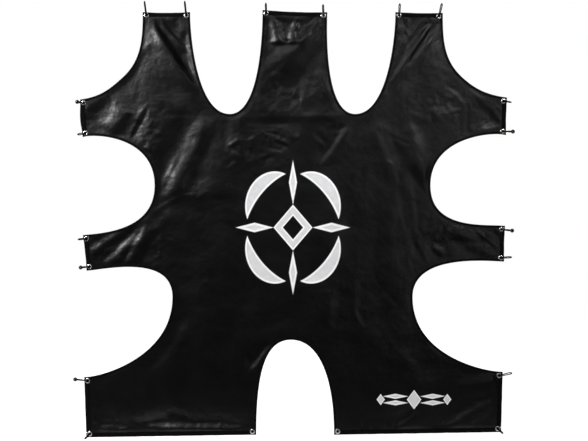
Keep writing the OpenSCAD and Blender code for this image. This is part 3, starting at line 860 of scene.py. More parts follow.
# Main folds: [x and z of one end, x and z of the other, half width, height] in mm
MAIN_FOLDS = np.array([
    [-600, -40, -400, -290, 45, 4], [-520, -30, -330, -310, 40, -3],
    [-370, -430, -570, -770, 60, 5], [110, -30, -20, -180, 45, 4],
    [590, -40, 400, -290, 40, 4], [360, -480, 460, -720, 45, 4],
    [490, -500, 540, -620, 35, 3], [220, -520, 120, -640, 40, -3],
    [-500, -850, -780, -980, 45, 4], [540, -960, 800, -940, 40, -3],
    [-460, -1330, -620, -1660, 60, 4], [300, -1320, 560, -1560, 60, 3],
    [-80, -1250, 60, -600, 80, -3]]) * MM
# Distances from the outline at which the main folds begin and reach their full height
FOLD_START = 45 * MM
FOLD_FULL = 90 * MM

# Small folds are laid out on a drawing grid of 4.14 mm squares, counted to the right
# and down from its corner. A row is [start u, v, end u, v, sideways bow at the middle,
# half width at the start and at the end in squares, slope]. A fold with a positive slope
# faces the lamp of its half of the sheet, and one with a negative slope faces away.
SQUARE = 4.14 * MM
GRID_CORNER = (292.5, 12.0)
LEFT_LAMP_SIDE = np.array([-0.88, 0.48])
RIGHT_LAMP_SIDE = np.array([0.10, 0.99])
RIGHT_HALF_FROM = 345
# Shares of a small fold's length over which it narrows to its points, and fades out
NARROWS_OVER = 0.3
FADES_OVER = 0.15
# The width of its points as a share of its own, and of its bell in facet widths
POINT_W = 0.3
BELL_W = 3.2
FOLDS = np.array([
    # top left tab
    [150, 16, 202, 95, 0, 3.4, 4.6, -0.60], [156, 46, 140, 118, 0, 13, 15, 0.08],
    [158, 16, 190, 54, 0, 1.6, 2.2, -0.55], [158, 21, 182, 51, 0, 1.2, 1.2, 0.10],
    [164, 17, 184, 39, 0, 1.3, 1.8, 0.06], [170, 18, 181, 32, 0, 1.3, 1.8, -0.14],
    [178, 16, 169, 25, 0, 1.3, 1.5, -0.12], [181, 16, 180, 37, 0, 1.8, 2.6, 0.10],
    [186, 20, 184, 41, 0, 1.8, 2.4, -0.09], [143, 48, 153, 39, 0, 1.3, 1.3, 0.12],
    [156, 57, 157, 71, 0, 1.5, 1.5, -0.07], [138, 82, 134, 105, 0, 1.8, 2.0, -0.10],
    [152, 80, 150, 105, 0, 3.0, 3.0, 0.04], [167, 86, 172, 106, 0, 2.0, 2.0, -0.07],
    # left upper tab
    [125, 89, 85, 135, 0, 6.5, 7.0, 0.03], [150, 22, 158, 48, 0, 4, 4, -0.05],
    [119, 106, 103, 126, 0, 1.8, 2.0, 0.05],
    [113, 99, 101, 113, 0, 1.4, 1.4, 0.05], [112, 95, 82, 121, 0, 5.0, 6.0, -0.16],
    [93, 123, 82, 135, 0, 1.8, 2.0, 0.10], [131, 110, 113, 140, 0, 5.5, 6.5, -0.20],
    [148, 105, 129, 141, 0, 1.3, 1.4, -0.60], [153, 109, 138, 143, 0, 4.0, 5.0, 0.07],
    [143, 148, 153, 153, 0, 1.3, 1.3, -0.30], [145, 154, 154, 157, 0, 1.5, 1.5, 0.16],
    [122, 110, 136, 112, 0, 1.3, 1.3, 0.14], [160, 112, 170, 108, 0, 1.3, 1.3, 0.12],
    # left of the middle
    [181, 112, 150, 184, 0, 12.5, 8.0, -0.13], [163, 116.5, 208, 116.5, 0, 1.3, 1.3, 0.10],
    [206, 110, 156, 208, 0, 9.5, 9.5, 0.20], [182, 150, 160, 194, 0, 1.3, 1.3, -0.20],
    [219, 114, 175, 206, 0, 5.2, 6.2, -0.17], [224, 128, 196, 198, 0, 14, 14, 0.05],
    [152, 212, 183, 194, 1.6, 1.3, 1.4, 0.24], [179, 194.5, 196, 193, 0, 1.3, 1.3, 0.16],
    [174, 198, 234, 197, 0, 3.0, 3.0, -0.06], [200, 224, 209, 213, 0, 1.3, 1.3, 0.08],
    [214, 114, 212, 162, 0, 3.0, 3.5, 0.05], [222, 117, 222, 154, 0, 2.4, 2.4, -0.10],
    [231, 117, 229, 148, 0, 3.0, 3.0, 0.07], [242, 114, 243, 164, 0, 3.0, 3.0, -0.11],
    [227, 150, 242, 139.5, 0, 1.3, 1.3, -0.40], [228, 145, 239, 138, 0, 1.4, 1.4, 0.16],
    [246, 141, 255, 135, 0, 1.6, 1.6, 0.24],
    # top middle tab
    [270, 15, 274, 46, 0, 2.2, 4.6, 0.24], [274, 16, 286, 46, 0, 2.8, 4.2, -0.24],
    [295, 19, 287, 44, 0, 2.8, 3.4, 0.28], [299, 18, 292, 42, 0, 1.9, 2.1, -0.24],
    [320, 15, 296, 44, 0, 2.8, 3.6, 0.30], [274, 18, 301, 22, 0, 2.0, 2.0, -0.16],
    [266, 40, 300, 40.5, 0, 1.3, 1.3, 0.16], [266, 43.5, 302, 43.5, 0, 1.7, 1.7, -0.32],
    [281, 43, 267, 64, 0, 8.0, 8.0, 0.06], [328, 34, 254, 100, 0, 9.0, 8.0, -0.14],
    [287, 61, 261, 85, 0, 1.6, 1.8, 0.13], [284, 59, 265, 75, 0, 1.5, 1.5, -0.12],
    [292, 80, 295, 104, 0, 1.8, 2.2, 0.13], [302, 76, 300, 106, 0, 2.7, 2.9, 0.17],
    [309, 68, 303, 94, 0, 1.5, 1.5, 0.09], [323, 46, 299, 110, 0, 7.0, 9.0, 0.05],
    [284, 94, 267, 114, 0, 1.3, 1.3, 0.18], [258, 96, 258, 110, 0, 1.6, 1.6, 0.15],
    [298, 100, 288, 110, 0, 1.3, 1.3, 0.22],
    # between the notches and the sight
    [232, 150, 243, 158, 0, 1.4, 1.4, -0.30], [236, 160, 226, 168, 0, 1.4, 1.4, 0.22],
    [250, 146, 246, 162, 0, 1.5, 1.5, -0.32], [262, 134, 258, 152, 0, 1.5, 1.5, 0.22],
    [270, 131, 288, 138, 0, 1.4, 1.4, -0.28], [274, 140, 290, 146, 0, 1.6, 1.6, -0.34],
    [266, 148, 284, 152, 0, 1.3, 1.3, 0.20], [258, 160, 276, 154, 0, 1.4, 1.4, -0.24],
    [312, 132, 324, 146, 0, 1.5, 1.5, -0.22], [318, 150, 330, 140, 0, 1.4, 1.4, 0.18],
    [242, 119.5, 350, 119.5, 0, 3.4, 3.4, -0.14], [248, 125, 298, 126, 0, 1.4, 1.4, 0.12],
    [248, 130.5, 302, 128, 0, 1.4, 1.4, 0.12], [298, 114, 344, 114, 0, 1.4, 1.4, 0.06],
    [297, 124, 297, 166, 0, 1.4, 1.4, 0.18], [302, 126, 302, 164, 0, 1.8, 1.8, -0.08],
    # top right tab
    [430, 21, 386, 87, 0, 1.8, 3.0, 0.40], [428, 17, 402, 50, 0, 1.3, 1.5, -0.45],
    [436, 20, 398, 74, 0, 1.3, 1.4, -0.55], [439, 22, 408, 70, 0, 1.5, 1.9, 0.40],
    [406, 88, 374, 118, 0, 3.0, 3.6, 0.08], [412, 15, 408, 36, 0, 3.0, 3.0, -0.13],
    [402, 17, 402, 46, 0, 2.0, 2.4, 0.06],
    # right upper tab
    [434, 88, 457, 101, -3, 1.6, 1.6, -0.15], [445, 86, 467, 107, 2.5, 1.3, 1.4, 0.15],
    [466, 92, 466, 136, 0, 1.4, 1.4, 0.15], [470, 99, 468, 134, 0, 1.6, 1.6, -0.14],
    [467, 97, 482, 119, 0, 2.0, 2.4, 0.12], [473, 95, 502, 125, 0, 3.0, 3.8, -0.22],
    [466, 126, 502, 126, 0, 5.0, 5.0, 0.07], [494, 109, 501, 123, 0, 1.5, 1.5, 0.12],
    # below the right notch
    [351, 120, 319, 166, 0, 2.6, 3.4, 0.32], [332, 134, 347, 128, 0, 1.3, 1.3, 0.18],
    [353, 129, 335, 162, 0, 1.8, 1.8, -0.12], [374, 125, 401, 186, 0, 2.8, 3.8, 0.13],
    [395, 170, 403, 226, 0, 3.6, 3.0, 0.10], [402, 216, 417, 266, 0, 2.4, 2.4, 0.06],
    [390, 134, 434, 200, 0, 4.8, 4.2, -0.22], [387, 133, 413, 145, 0, 1.3, 1.3, -0.17],
    [391, 139, 415, 146, 0, 1.3, 1.3, 0.12], [409, 115, 437, 181, 0, 3.6, 4.2, 0.12],
    [414, 148, 431, 178, 0, 1.4, 1.4, 0.17], [411, 182, 418, 230, 0, 1.6, 1.6, 0.12],
    [405, 204, 397, 228, 0, 1.4, 1.4, 0.10], [412, 224, 433, 252, 0, 1.5, 1.5, 0.10],
    [413, 238, 427, 264, 0, 2.0, 2.0, -0.16], [433, 243, 447, 253, 0, 1.8, 1.8, 0.20],
    [430, 248, 443, 257, 0, 1.3, 1.3, -0.40], [408, 254, 414, 276, 0, 1.5, 1.5, 0.13],
    [365, 160, 351, 270, 0, 5.0, 5.5, 0.06], [343, 190, 339, 276, 0, 6.0, 6.5, -0.08],
    [382, 180, 385, 306, 0, 9.0, 9.0, -0.09],
    # right lower tab
    [478, 229, 501, 250, 0, 2.0, 3.8, 0.14], [473, 230, 502, 253, 0, 1.4, 1.6, -0.40],
    [479, 236, 501, 257, 0, 1.6, 1.8, 0.09], [446, 229, 484, 257, 0, 5.0, 5.0, -0.14],
    # left lower tab
    [120, 229, 87, 253, 0, 3.0, 4.0, 0.28], [138, 225, 89, 258, 0, 3.4, 3.6, -0.24],
    [136, 228, 100, 261, 0, 1.3, 1.3, -0.34], [144, 220, 101, 267, 0, 4.0, 5.0, 0.25],
    [147, 220, 124, 267, 0, 2.6, 3.4, 0.33], [132, 244, 118, 264, 0, 1.4, 1.6, -0.30],
    [127, 259, 120, 267, 0, 1.5, 1.5, 0.20], [154, 224, 138, 264, 0, 4.0, 4.0, -0.13],
    [144, 234, 153, 254, 0, 1.3, 1.3, 0.12], [157, 239, 164, 233, 0, 1.3, 1.3, 0.12],
    [159, 241, 170, 241, 0, 1.3, 1.3, 0.10], [199, 284, 211, 276, 0, 1.3, 1.3, 0.14],
    # lower middle
    [216, 329, 230, 329, 0, 1.3, 1.3, 0.14], [179, 353, 193, 345, 0, 1.3, 1.3, 0.10],
    [236, 348, 242, 364, 0, 2.0, 2.0, 0.06], [275, 341, 247, 373, 0, 2.2, 3.4, 0.46],
    [354, 308, 365, 328, 0, 1.9, 2.1, 0.22], [359, 280, 356, 314, 0, 3.5, 3.0, 0.14],
    [380, 286, 399, 308, -1.6, 1.3, 1.5, 0.17], [337, 286, 330, 332, 0, 6.0, 4.0, -0.13],
    [353, 351, 342, 367, 0, 1.4, 1.4, 0.14], [343, 366, 327, 365, 0, 1.3, 1.3, 0.16],
    [329, 339, 341, 323, 0, 1.3, 1.3, 0.10],
    # feet
    [132, 424, 256, 427, 0, 4.2, 3.2, 0.44], [164, 414, 190, 420, 0, 3.0, 3.0, 0.20],
    [152, 416, 150, 431, 0, 1.3, 1.3, 0.14], [176, 416, 178, 431, 0, 1.3, 1.3, -0.14],
    [198, 418, 197, 432, 0, 1.3, 1.3, 0.16], [222, 420, 223, 432, 0, 1.3, 1.3, -0.12],
    [144, 410, 144, 431, 0, 1.3, 1.3, -0.20],
    [95, 432, 120, 425, -1, 1.3, 1.3, -0.20], [97, 426, 132, 427, 0, 2.6, 2.6, 0.36],
    [422, 408, 392, 430, 0, 3.0, 3.6, 0.30], [495, 396, 438, 428, 0, 3.8, 4.6, 0.36],
    [454, 385, 502, 372, 0, 5.0, 4.0, 0.22], [370, 421, 372, 431, 0, 1.3, 1.3, 0.18],
    [363, 421, 363, 431, 0, 1.3, 1.3, 0.18], [378, 421, 380, 431, 0, 1.3, 1.3, 0.18]])

# Crumpled places: [u, v, half width and half height in squares, share of the crumple]
CRUMPLES = np.array([
    [150, 70, 26, 24, 0.30], [108, 112, 34, 28, 0.5], [150, 130, 16, 28, 1.0],
    [176, 34, 26, 20, 0.5], [285, 30, 30, 20, 0.6], [284, 96, 34, 22, 0.7],
    [272, 144, 34, 20, 1.0], [248, 142, 18, 14, 0.7], [452, 110, 26, 22, 0.65],
    [420, 40, 26, 30, 0.22], [338, 140, 26, 24, 0.45], [438, 150, 16, 14, 0.5],
    [120, 250, 40, 24, 0.6], [158, 248, 18, 22, 1.0], [440, 236, 22, 22, 0.8],
    [484, 246, 18, 14, 0.7], [112, 426, 30, 10, 0.9], [372, 426, 18, 8, 0.8],
    [200, 424, 60, 8, 0.6], [300, 240, 60, 70, 0.3], [470, 420, 40, 12, 0.4],
    [180, 300, 60, 60, 0.16], [400, 320, 60, 60, 0.16]])
LEAST_CRUMPLE = 0.10

# Short creases are drawn at random from these ranges: place of the middle on the grid,
# half length, sideways bow and half width in squares, and slope
CREASE_COUNT = 520
CREASE_U = (75, 510)
CREASE_V = (14, 432)
CREASE_HALF = (2.5, 6.5)
CREASE_BOW = (-1, 1)
CREASE_W = (1.2, 1.7)
CREASE_SLOPE = (0.04, 0.15)
# Low waves: their number, their height for each metre of wavelength, and the range of
# their phases
WAVE_COUNT = 16
WAVE_H = 0.0021
PHASES = (0, 6.28)


def on_grid(u, v):
    """A place on the sheet from its place on the drawing grid."""
    return (u - GRID_CORNER[0]) * SQUARE, (GRID_CORNER[1] - v) * SQUARE


def crumple_share(x, z):
    """How crumpled the cloth is: the strongest of the soft-edged ovals."""
    share = np.full(x.shape, LEAST_CRUMPLE)
    for u, v, half_u, half_v, amount in CRUMPLES:
        cx, cz = on_grid(u, v)
        away = ((x - cx) / (half_u * SQUARE)) ** 2 + ((z - cz) / (half_v * SQUARE)) ** 2
        share = np.maximum(share, amount * np.exp(-(away ** 1.5)))
    return share


def from_line(x, z, start, end):
    """Distances to the straight line between two places."""
    dx, dz = end[0] - start[0], end[1] - start[1]
    t = np.clip(((x - start[0]) * dx + (z - start[1]) * dz) / (dx * dx + dz * dz), 0, 1)
    return np.hypot(x - start[0] - t * dx, z - start[1] - t * dz)


def main_rise(x, z, gap):
    """The main folds: rounded ridges and hollows that fade out towards the edges.

    Across each line the height is its own times a bell of its half width.
    """
    total = np.zeros(x.shape)
    for x0, z0, x1, z1, half, height in MAIN_FOLDS:
        away = from_line(x, z, (x0, z0), (x1, z1))
        total += height * np.exp(-(away / half) ** 2)
    return total * ease((gap - FOLD_START) / (FOLD_FULL - FOLD_START))


def stroke_rise(x, z, rows):
    """Small folds: a sloping facet along each line that settles again on both sides.

    Across the line the height is a ramp with rounded ends times a wide bell. The facet's
    half width narrows to a point at both ends of the line, and its slope stays the same.
    """
    total = np.zeros(x.shape)
    for u0, v0, u1, v1, bow, w0, w1, slope in rows:
        x0, z0 = on_grid(u0, v0)
        x1, z1 = on_grid(u1, v1)
        length = math.hypot(x1 - x0, z1 - z0)
        touched = 0.55 * length + 6 * max(w0, w1) * SQUARE
        near = np.hypot(x - (x0 + x1) / 2, z - (z0 + z1) / 2) < touched
        if not near.any():
            continue
        px, pz = x[near], z[near]
        along = np.array([x1 - x0, z1 - z0]) / length
        side = np.array([-along[1], along[0]])
        lamp_side = RIGHT_LAMP_SIDE if (u0 + u1) / 2 > RIGHT_HALF_FROM else LEFT_LAMP_SIDE
        if side @ lamp_side < 0:
            side = -side
        t = ((px - x0) * along[0] + (pz - z0) * along[1]) / length
        inside = np.clip(t, 0, 1)
        full = ease(t / NARROWS_OVER) * ease((1 - t) / NARROWS_OVER)
        width = mix(w0, w1, inside) * SQUARE * mix(POINT_W, 1, full)
        across = (px - x0) * side[0] + (pz - z0) * side[1]
        across = across - bow * SQUARE * 4 * inside * (1 - inside)
        q = across / width
        ramp = q / (1 + q ** 4) ** 0.25
        ends = ease(t / FADES_OVER) * ease((1 - t) / FADES_OVER)
        total[near] -= slope * width * ramp * np.exp(-(q / BELL_W) ** 2) * ends
    return total


def random_folds(count):
    """Seeded short creases, more and stronger where the cloth is crumpled."""
    rows = []
    while len(rows) < count:
        u, v = rng.uniform(*CREASE_U), rng.uniform(*CREASE_V)
        x, z = on_grid(u, v)
        share = float(crumple_share(np.array(x), np.array(z)))
        if rng.uniform() > share:
            continue
        turn = rng.uniform(0, math.pi)
        half = rng.uniform(*CREASE_HALF)
        du, dv = half * math.cos(turn), half * math.sin(turn)
        width = rng.uniform(*CREASE_W)
        slope = rng.uniform(*CREASE_SLOPE) * (0.5 + share) * rng.choice([-1, 1])
        bow = rng.uniform(*CREASE_BOW)
        rows.append([u - du, v - dv, u + du, v + dv, bow, width, width, slope])
    return np.array(rows)


CREASES = random_folds(CREASE_COUNT)
# Waves: [x and z of the direction, phase, wavelength in metres]
WAVES = np.stack([rng.uniform(low, high, WAVE_COUNT)
                  for low, high in ((-1, 1), (-0.6, 0.6), PHASES, (0.09, 0.38))], axis=-1)


def wave_rise(x, z):
    """Low waves of the whole sheet: crossing sines, the longer ones the higher."""
    total = np.zeros(x.shape)
    for a, b, phase, wavelength in WAVES:
        length = math.hypot(a, b)
        turns = (a * x + b * z) / (length * wavelength)
        total += wavelength * np.sin(2 * math.pi * turns + phase)
    return total * WAVE_H


# The cloth is flat round each eyelet, and its small folds are low beside the outline
EYE_FLAT = 13 * MM
EYE_FADE = 22 * MM
EDGE_LOW = 6 * MM
EDGE_FADE = 24 * MM
EDGE_SHARE = 0.12


def rise_at(points):
    """How far the cloth stands forward of its plane at points given as (x, z)."""
    near = nearest_edge(points)
    gap = np.linalg.norm(points - OUTLINE[near], axis=-1)
    x, z = points[..., 0], points[..., 1]
    from_eye = in_chunks(lambda p: np.min(
        np.hypot(p[:, None, 0] - EYES[None, :, 0], p[:, None, 1] - EYES[None, :, 1]), axis=1),
        points).reshape(x.shape)
    small = stroke_rise(x, z, FOLDS) + stroke_rise(x, z, CREASES) + wave_rise(x, z)
    small = small * mix(EDGE_SHARE, 1, ease((gap - EDGE_LOW) / EDGE_FADE))
    return (main_rise(x, z, gap) + small) * ease((from_eye - EYE_FLAT) / EYE_FADE)


# --- Sheet --------------------------------------------------------------------

CLOTH_T = 0.8 * MM
# The border of the grid lies this far inside the outline, under hems and tapes
SHEET_IN = 5 * MM
GRID_X = (-0.88, 0.89)
GRID_Z = (0.004, -1.76)
COLUMN = 6.3 * MM
# Rows are fine down to a level, and below it they grow to the coarse height by steps
FINE_ROW = 5.6 * MM
COARSE_ROW = 9.0 * MM
FINE_UNTIL = -0.80
GROW_OVER = 0.2
SHARP_DEGREES = 50
# Ripples beside level and upright hems: [share, reach each way of the hem's inner edge]
LEVEL_RIPPLES = (0.45, 16 * MM)
UPRIGHT_RIPPLES = (0.25, 14 * MM)


def grid_lines():
    """Column and row places of the sheet's grid, with finer rows in its upper half."""
    columns = np.arange(*GRID_X, COLUMN)
    rows = [GRID_Z[0]]
    while rows[-1] > GRID_Z[1]:
        share = ease((FINE_UNTIL - rows[-1]) / GROW_OVER)
        rows.append(rows[-1] - mix(FINE_ROW, COARSE_ROW, share))
    return columns, np.array(rows)


def hem_distances(x, z):
    """Distances to the level hems and to the upright hems, for the ripples along them."""
    level = np.full(x.shape, 1.0)
    upright = np.full(x.shape, 1.0)
    for corners in CORNERS:
        for a, b in zip(corners[:-1], corners[1:]):
            away = from_line(x, z, a, b)
            if abs(b[0] - a[0]) > abs(b[1] - a[1]):
                level = np.minimum(level, away)
            else:
                upright = np.minimum(upright, away)
    return level, upright


def cut_grid():
    """Points, squares and open edges of a grid over X and Z that is cut to the outline.

    Squares whose middle lies inside are kept, and the border is drawn onto a line just
    inside the outline.
    """
    columns, rows = grid_lines()
    points = np.stack(np.meshgrid(columns, rows), axis=-1)
    middles = (points[:-1, :-1] + points[1:, 1:]) / 2
    gap = np.linalg.norm(middles - OUTLINE[nearest_edge(middles)], axis=-1)
    row, column = np.nonzero(is_inside(middles) & (gap > SHEET_IN))
    across = len(columns)
    a = row * across + column
    quads = np.stack([a, a + across, a + across + 1, a + 1], axis=-1)
    used, quads = np.unique(quads, return_inverse=True)
    quads = quads.reshape(-1, 4)
    flat = points.reshape(-1, 2)[used]
    uses = np.bincount(quads.ravel(), minlength=len(used))
    border = np.nonzero(uses < 4)[0]
    near = nearest_edge(flat[border])
    flat[border] = OUTLINE[near] + SHEET_IN * OUTLINE_INWARD[near]
    edges = np.concatenate([quads[:, [i, (i + 1) % 4]] for i in range(4)])
    key = np.sort(edges, axis=1)
    _, first, counts = np.unique(key, axis=0, return_index=True, return_counts=True)
    return flat, quads, edges[first[counts == 1]]


def make_sheet():
    """The sheet: the cut grid twice, half a thickness before and behind its folds."""
    flat, quads, rim = cut_grid()
    count = len(flat)
    x, z = flat[:, 0], flat[:, 1]
    rise = rise_at(flat)
    front = np.stack([x, -rise - CLOTH_T / 2, z], axis=-1)
    back = np.stack([x, -rise + CLOTH_T / 2, z], axis=-1)
    sides = np.stack([rim[:, 1], rim[:, 0], rim[:, 0] + count, rim[:, 1] + count], axis=-1)
    faces = np.concatenate([quads, quads[:, ::-1] + count, sides])
    sheet = mesh_piece("printed_sheet", np.concatenate([front, back]), faces, CLOTH)
    sheet.data.set_sharp_from_angle(angle=math.radians(SHARP_DEGREES))
    level, upright = hem_distances(x, z)
    crumple = crumple_share(x, z)
    ripples = [share * np.exp(-((away - HEM_W) / reach) ** 2)
               for away, (share, reach) in ((level, LEVEL_RIPPLES), (upright, UPRIGHT_RIPPLES))]
    # Each mask as its values on the front and on the back
    masks = {"printed_side": (np.ones(count), np.zeros(count)), "crumple": (crumple, crumple),
             "ripple_x": (ripples[0], ripples[0]), "ripple_z": (ripples[1], ripples[1])}
    for name, values in masks.items():
        layer = sheet.data.attributes.new(name, "FLOAT", "POINT")
        layer.data.foreach_set("value", np.concatenate(values).astype(np.float32))
    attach(sheet, "root")
    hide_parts("target_sheet")
    return sheet


sheet = make_sheet()


# --- Hems, bindings and their stitching -----------------------------------------

HEM_HALF_T = 1.3 * MM
# Width of a hem before its inner edge wanders, and the depths of its stitch rows
HEM_VISIBLE = 19.5 * MM
HEM_ROWS = (3.5 * MM, 16.5 * MM)
HEM_STEP = 5 * MM
# The hems of the foot sides stop this short of the foot's corner
FOOT_SHORT = HEM_W - 4 * MM
BINDING_HALF_T = 1.1 * MM
BINDING_ROW = 7.4 * MM
# A binding begins under the hem, this far from the hem's inner edge; only the part of
# its curve that is near the tab is looked at
BINDING_UNDER = 6 * MM
NEAR_TAB = 0.12
GROOVE_DEPTH = 0.22 * MM
GROOVE_HALF_W = 1.5 * MM
# Half thicknesses at the stitch rows, where a strip is drawn in
HEM_STITCHED_T = HEM_HALF_T * 0.96
BINDING_STITCHED_T = BINDING_HALF_T * 0.85
STITCH_SPACING = 4.3 * MM
STITCH_HALF = 1.65 * MM
STITCH_R = 0.30 * MM
STITCH_LIFT = 0.02 * MM
STITCH_BOW = 0.32 * MM
STITCH_DIP = 0.22 * MM
STITCH_LEAN = 0.12
STITCH_STEPS = 5
STITCH_SIDES = 6
STITCHES_FROM_EYE = 11.5 * MM
# Hems in order along the outline
HEM_NODES = ["top_left_hem", "top_middle_hem", "top_right_hem", "upper_right_hem",
             "lower_right_hem", "right_foot_side_hem", "right_foot_bottom_hem",
             "left_foot_bottom_hem", "left_foot_side_hem", "lower_left_hem",
             "upper_left_hem"]
# How far a hem's outer edge is drawn in at its middle, in mm, or bows out where it is
# below zero, and the power of that bow
PULLED_IN = {"top_left_hem": 3.4, "top_middle_hem": 3.6, "top_right_hem": 2.4,
             "upper_right_hem": 1.5, "lower_right_hem": 1.5, "upper_left_hem": -5.5,
             "lower_left_hem": 1.5}
PULLED_SHAPE = {"upper_left_hem": 2.0}
stitch_rows = []


def noise_line(along, wavelength, amount):
    """A smooth random line over distances.

    It is the sum of three sines with drawn phases, each as high as its own share of the
    wavelength, and the amount is about its greatest height.
    """
    total = np.zeros(along.shape)
    for factor in (1.0, 0.61, 0.37):
        total += factor * np.sin(2 * math.pi * along / (wavelength * factor)
                                 + rng.uniform(*PHASES))
    return total * amount / 1.6


def fold_profile(width, half_t, grooves):
    """Section of a folded strip as (depth, height) pairs, from its back inner edge round
    the outer fold to its front inner edge; it sinks a little along its stitch rows."""
    depth = np.concatenate([np.linspace(width, 1.6 * half_t, 12), [half_t]])
    height = half_t * (0.93 + 0.07 * np.sin(math.pi * depth / width))
    for groove in grooves:
        height = height - GROOVE_DEPTH * np.exp(-((depth - groove) / GROOVE_HALF_W) ** 2)
    height[0] = 0.62 * half_t
    turn = np.linspace(0.5, -0.5, 9)[1:-1] * math.pi
    fold = np.stack([half_t - half_t * np.cos(turn), half_t * np.sin(turn)], axis=-1)
    back = np.stack([depth, height], axis=-1)
    front = np.stack([depth[::-1], -height[::-1]], axis=-1)
    return np.concatenate([back, fold, front])


def side_at_depth(curve, corner, inward, depth):
    """Points of a side curve at given depths below a hem line."""
    depths = (curve - corner) @ inward
    order = np.argsort(depths[:60])
    return np.stack([np.interp(depth, depths[order], curve[order, i]) for i in (0, 1)], axis=-1)


def hem_lines():
    """Each hem line as [tab, first corner, second corner]."""
    return [(k, CORNERS[k][i], CORNERS[k][i + 1])
            for k in range(len(CORNERS)) for i in range(len(CORNERS[k]) - 1)]


def add_stitches(place, profile, depth, half_t):
    """Keeps one row of stitches that runs along a strip at a depth, clear of eyelets.

    The row follows the point of the section's front whose depth is nearest; heights
    above zero are on the back.
    """
    column = np.argmin(np.abs(profile[:, 0] - depth) + (profile[:, 1] > 0))
    line = evenly(place[:, column], STITCH_SPACING)
    middles = (line[:-1] + line[1:]) / 2
    from_eyes = np.min(np.linalg.norm(middles[:, None] - EYES[None], axis=-1), axis=1)
    clear = from_eyes > STITCHES_FROM_EYE
    middles = middles[clear]
    tangents = unit(np.diff(line, axis=0))[clear]
    stitch_rows.append((middles, tangents, rise_at(middles), half_t))


def folded_strip(name, place, profile, at, puff, material):
    """A folded section along a strip of places; it follows the cloth and swells a little."""
    y = -rise_at(place) + profile[None, :, 1] * puff[:, None]
    rings = np.stack([place[..., 0], y, place[..., 1]], axis=-1)
    across = distances(profile)
    faces, uv = tube(rings, at, np.append(across, across[-1] + 2 * MM))
    return mesh_piece(name, rings, faces, material, uv)


def make_hem(index):
    """One hem: a folded strip whose section is carried along its straight line.

    Its ends follow the side curves of the tab, or are square at a foot's corner. Its
    outer edge is drawn in a little between the eyelets, and both faces follow the
    cloth's own folds.
    """
    node = HEM_NODES[index]
    k, a, b = hem_lines()[index]
    along = unit(b - a)
    inward = to_right(along)
    profile = fold_profile(HEM_VISIBLE, HEM_HALF_T, HEM_ROWS)
    depth = profile[:, 0]
    short = FOOT_SHORT * along if "side" in node else 0 * along
    if np.allclose(a, CORNERS[k][0]):
        start = side_at_depth(CUT_CURVES[k - 1][::-1], a, inward, depth)
    else:
        start = a + short + depth[:, None] * inward
    if np.allclose(b, CORNERS[k][-1]):
        end = side_at_depth(CUT_CURVES[k], b, inward, depth)
    else:
        end = b - short + depth[:, None] * inward
    length = np.linalg.norm(b - a)
    share = np.linspace(0, 1, int(length / HEM_STEP) + 1)
    place = mix(start[None], end[None], share[:, None, None])
    at = share * length
    bow = np.sin(math.pi * share)
    sag = PULLED_IN.get(node, 0.0) * MM * bow ** PULLED_SHAPE.get(node, 0.8)
    outer = sag + noise_line(at, 0.09, 0.35 * MM) * bow
    inner = noise_line(at, 0.05, 0.7 * MM)
    weight = depth[None] / HEM_W
    shift = outer[:, None] * (1 - weight) + inner[:, None] * weight
    place = place + shift[..., None] * inward
    puff = 1 + 0.10 * noise_line(at, 0.035, 1.0)
    piece = folded_strip(node + "_cloth", place, profile, at, puff, HEM_WEB)
    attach(piece, "root")
    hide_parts(node)
    for row_depth in HEM_ROWS:
        add_stitches(place, profile, row_depth, HEM_STITCHED_T)
    return piece


def make_binding(k):
    """One binding: a folded tape whose section is carried round an opening's edge."""
    name = CUTS[k][0]
    curve = CUT_CURVES[k]
    before, after = CORNERS[k], CORNERS[(k + 1) % len(CUTS)]
    under_hem = np.zeros(len(curve), dtype=bool)
    for corner, along in ((before[-1], before[-1] - before[-2]), (after[0], after[1] - after[0])):
        near = np.linalg.norm(curve - corner, axis=-1) < NEAR_TAB
        depth = (curve - corner) @ to_right(unit(along))
        under_hem |= near & (depth < HEM_VISIBLE - BINDING_UNDER)
    curve = curve[~under_hem]
    at = distances(curve)
    inward = to_right(unit(np.gradient(curve, axis=0)))
    profile = fold_profile(BINDING_W, BINDING_HALF_T, (BINDING_ROW,))
    weight = profile[None, :, 0] / BINDING_W
    wander = noise_line(at, 0.06, 0.45 * MM)[:, None] * weight
    depth = profile[None, :, 0] + wander
    place = curve[:, None] + depth[..., None] * inward[:, None]
    puff = 1 + 0.08 * noise_line(at, 0.03, 1.0)
    piece = folded_strip(name + "_tape", place, profile, at, puff, BIND_TAPE)
    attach(piece, "root")
    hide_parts(name + "_binding")
    add_stitches(place, profile, BINDING_ROW, BINDING_STITCHED_T)
    return piece


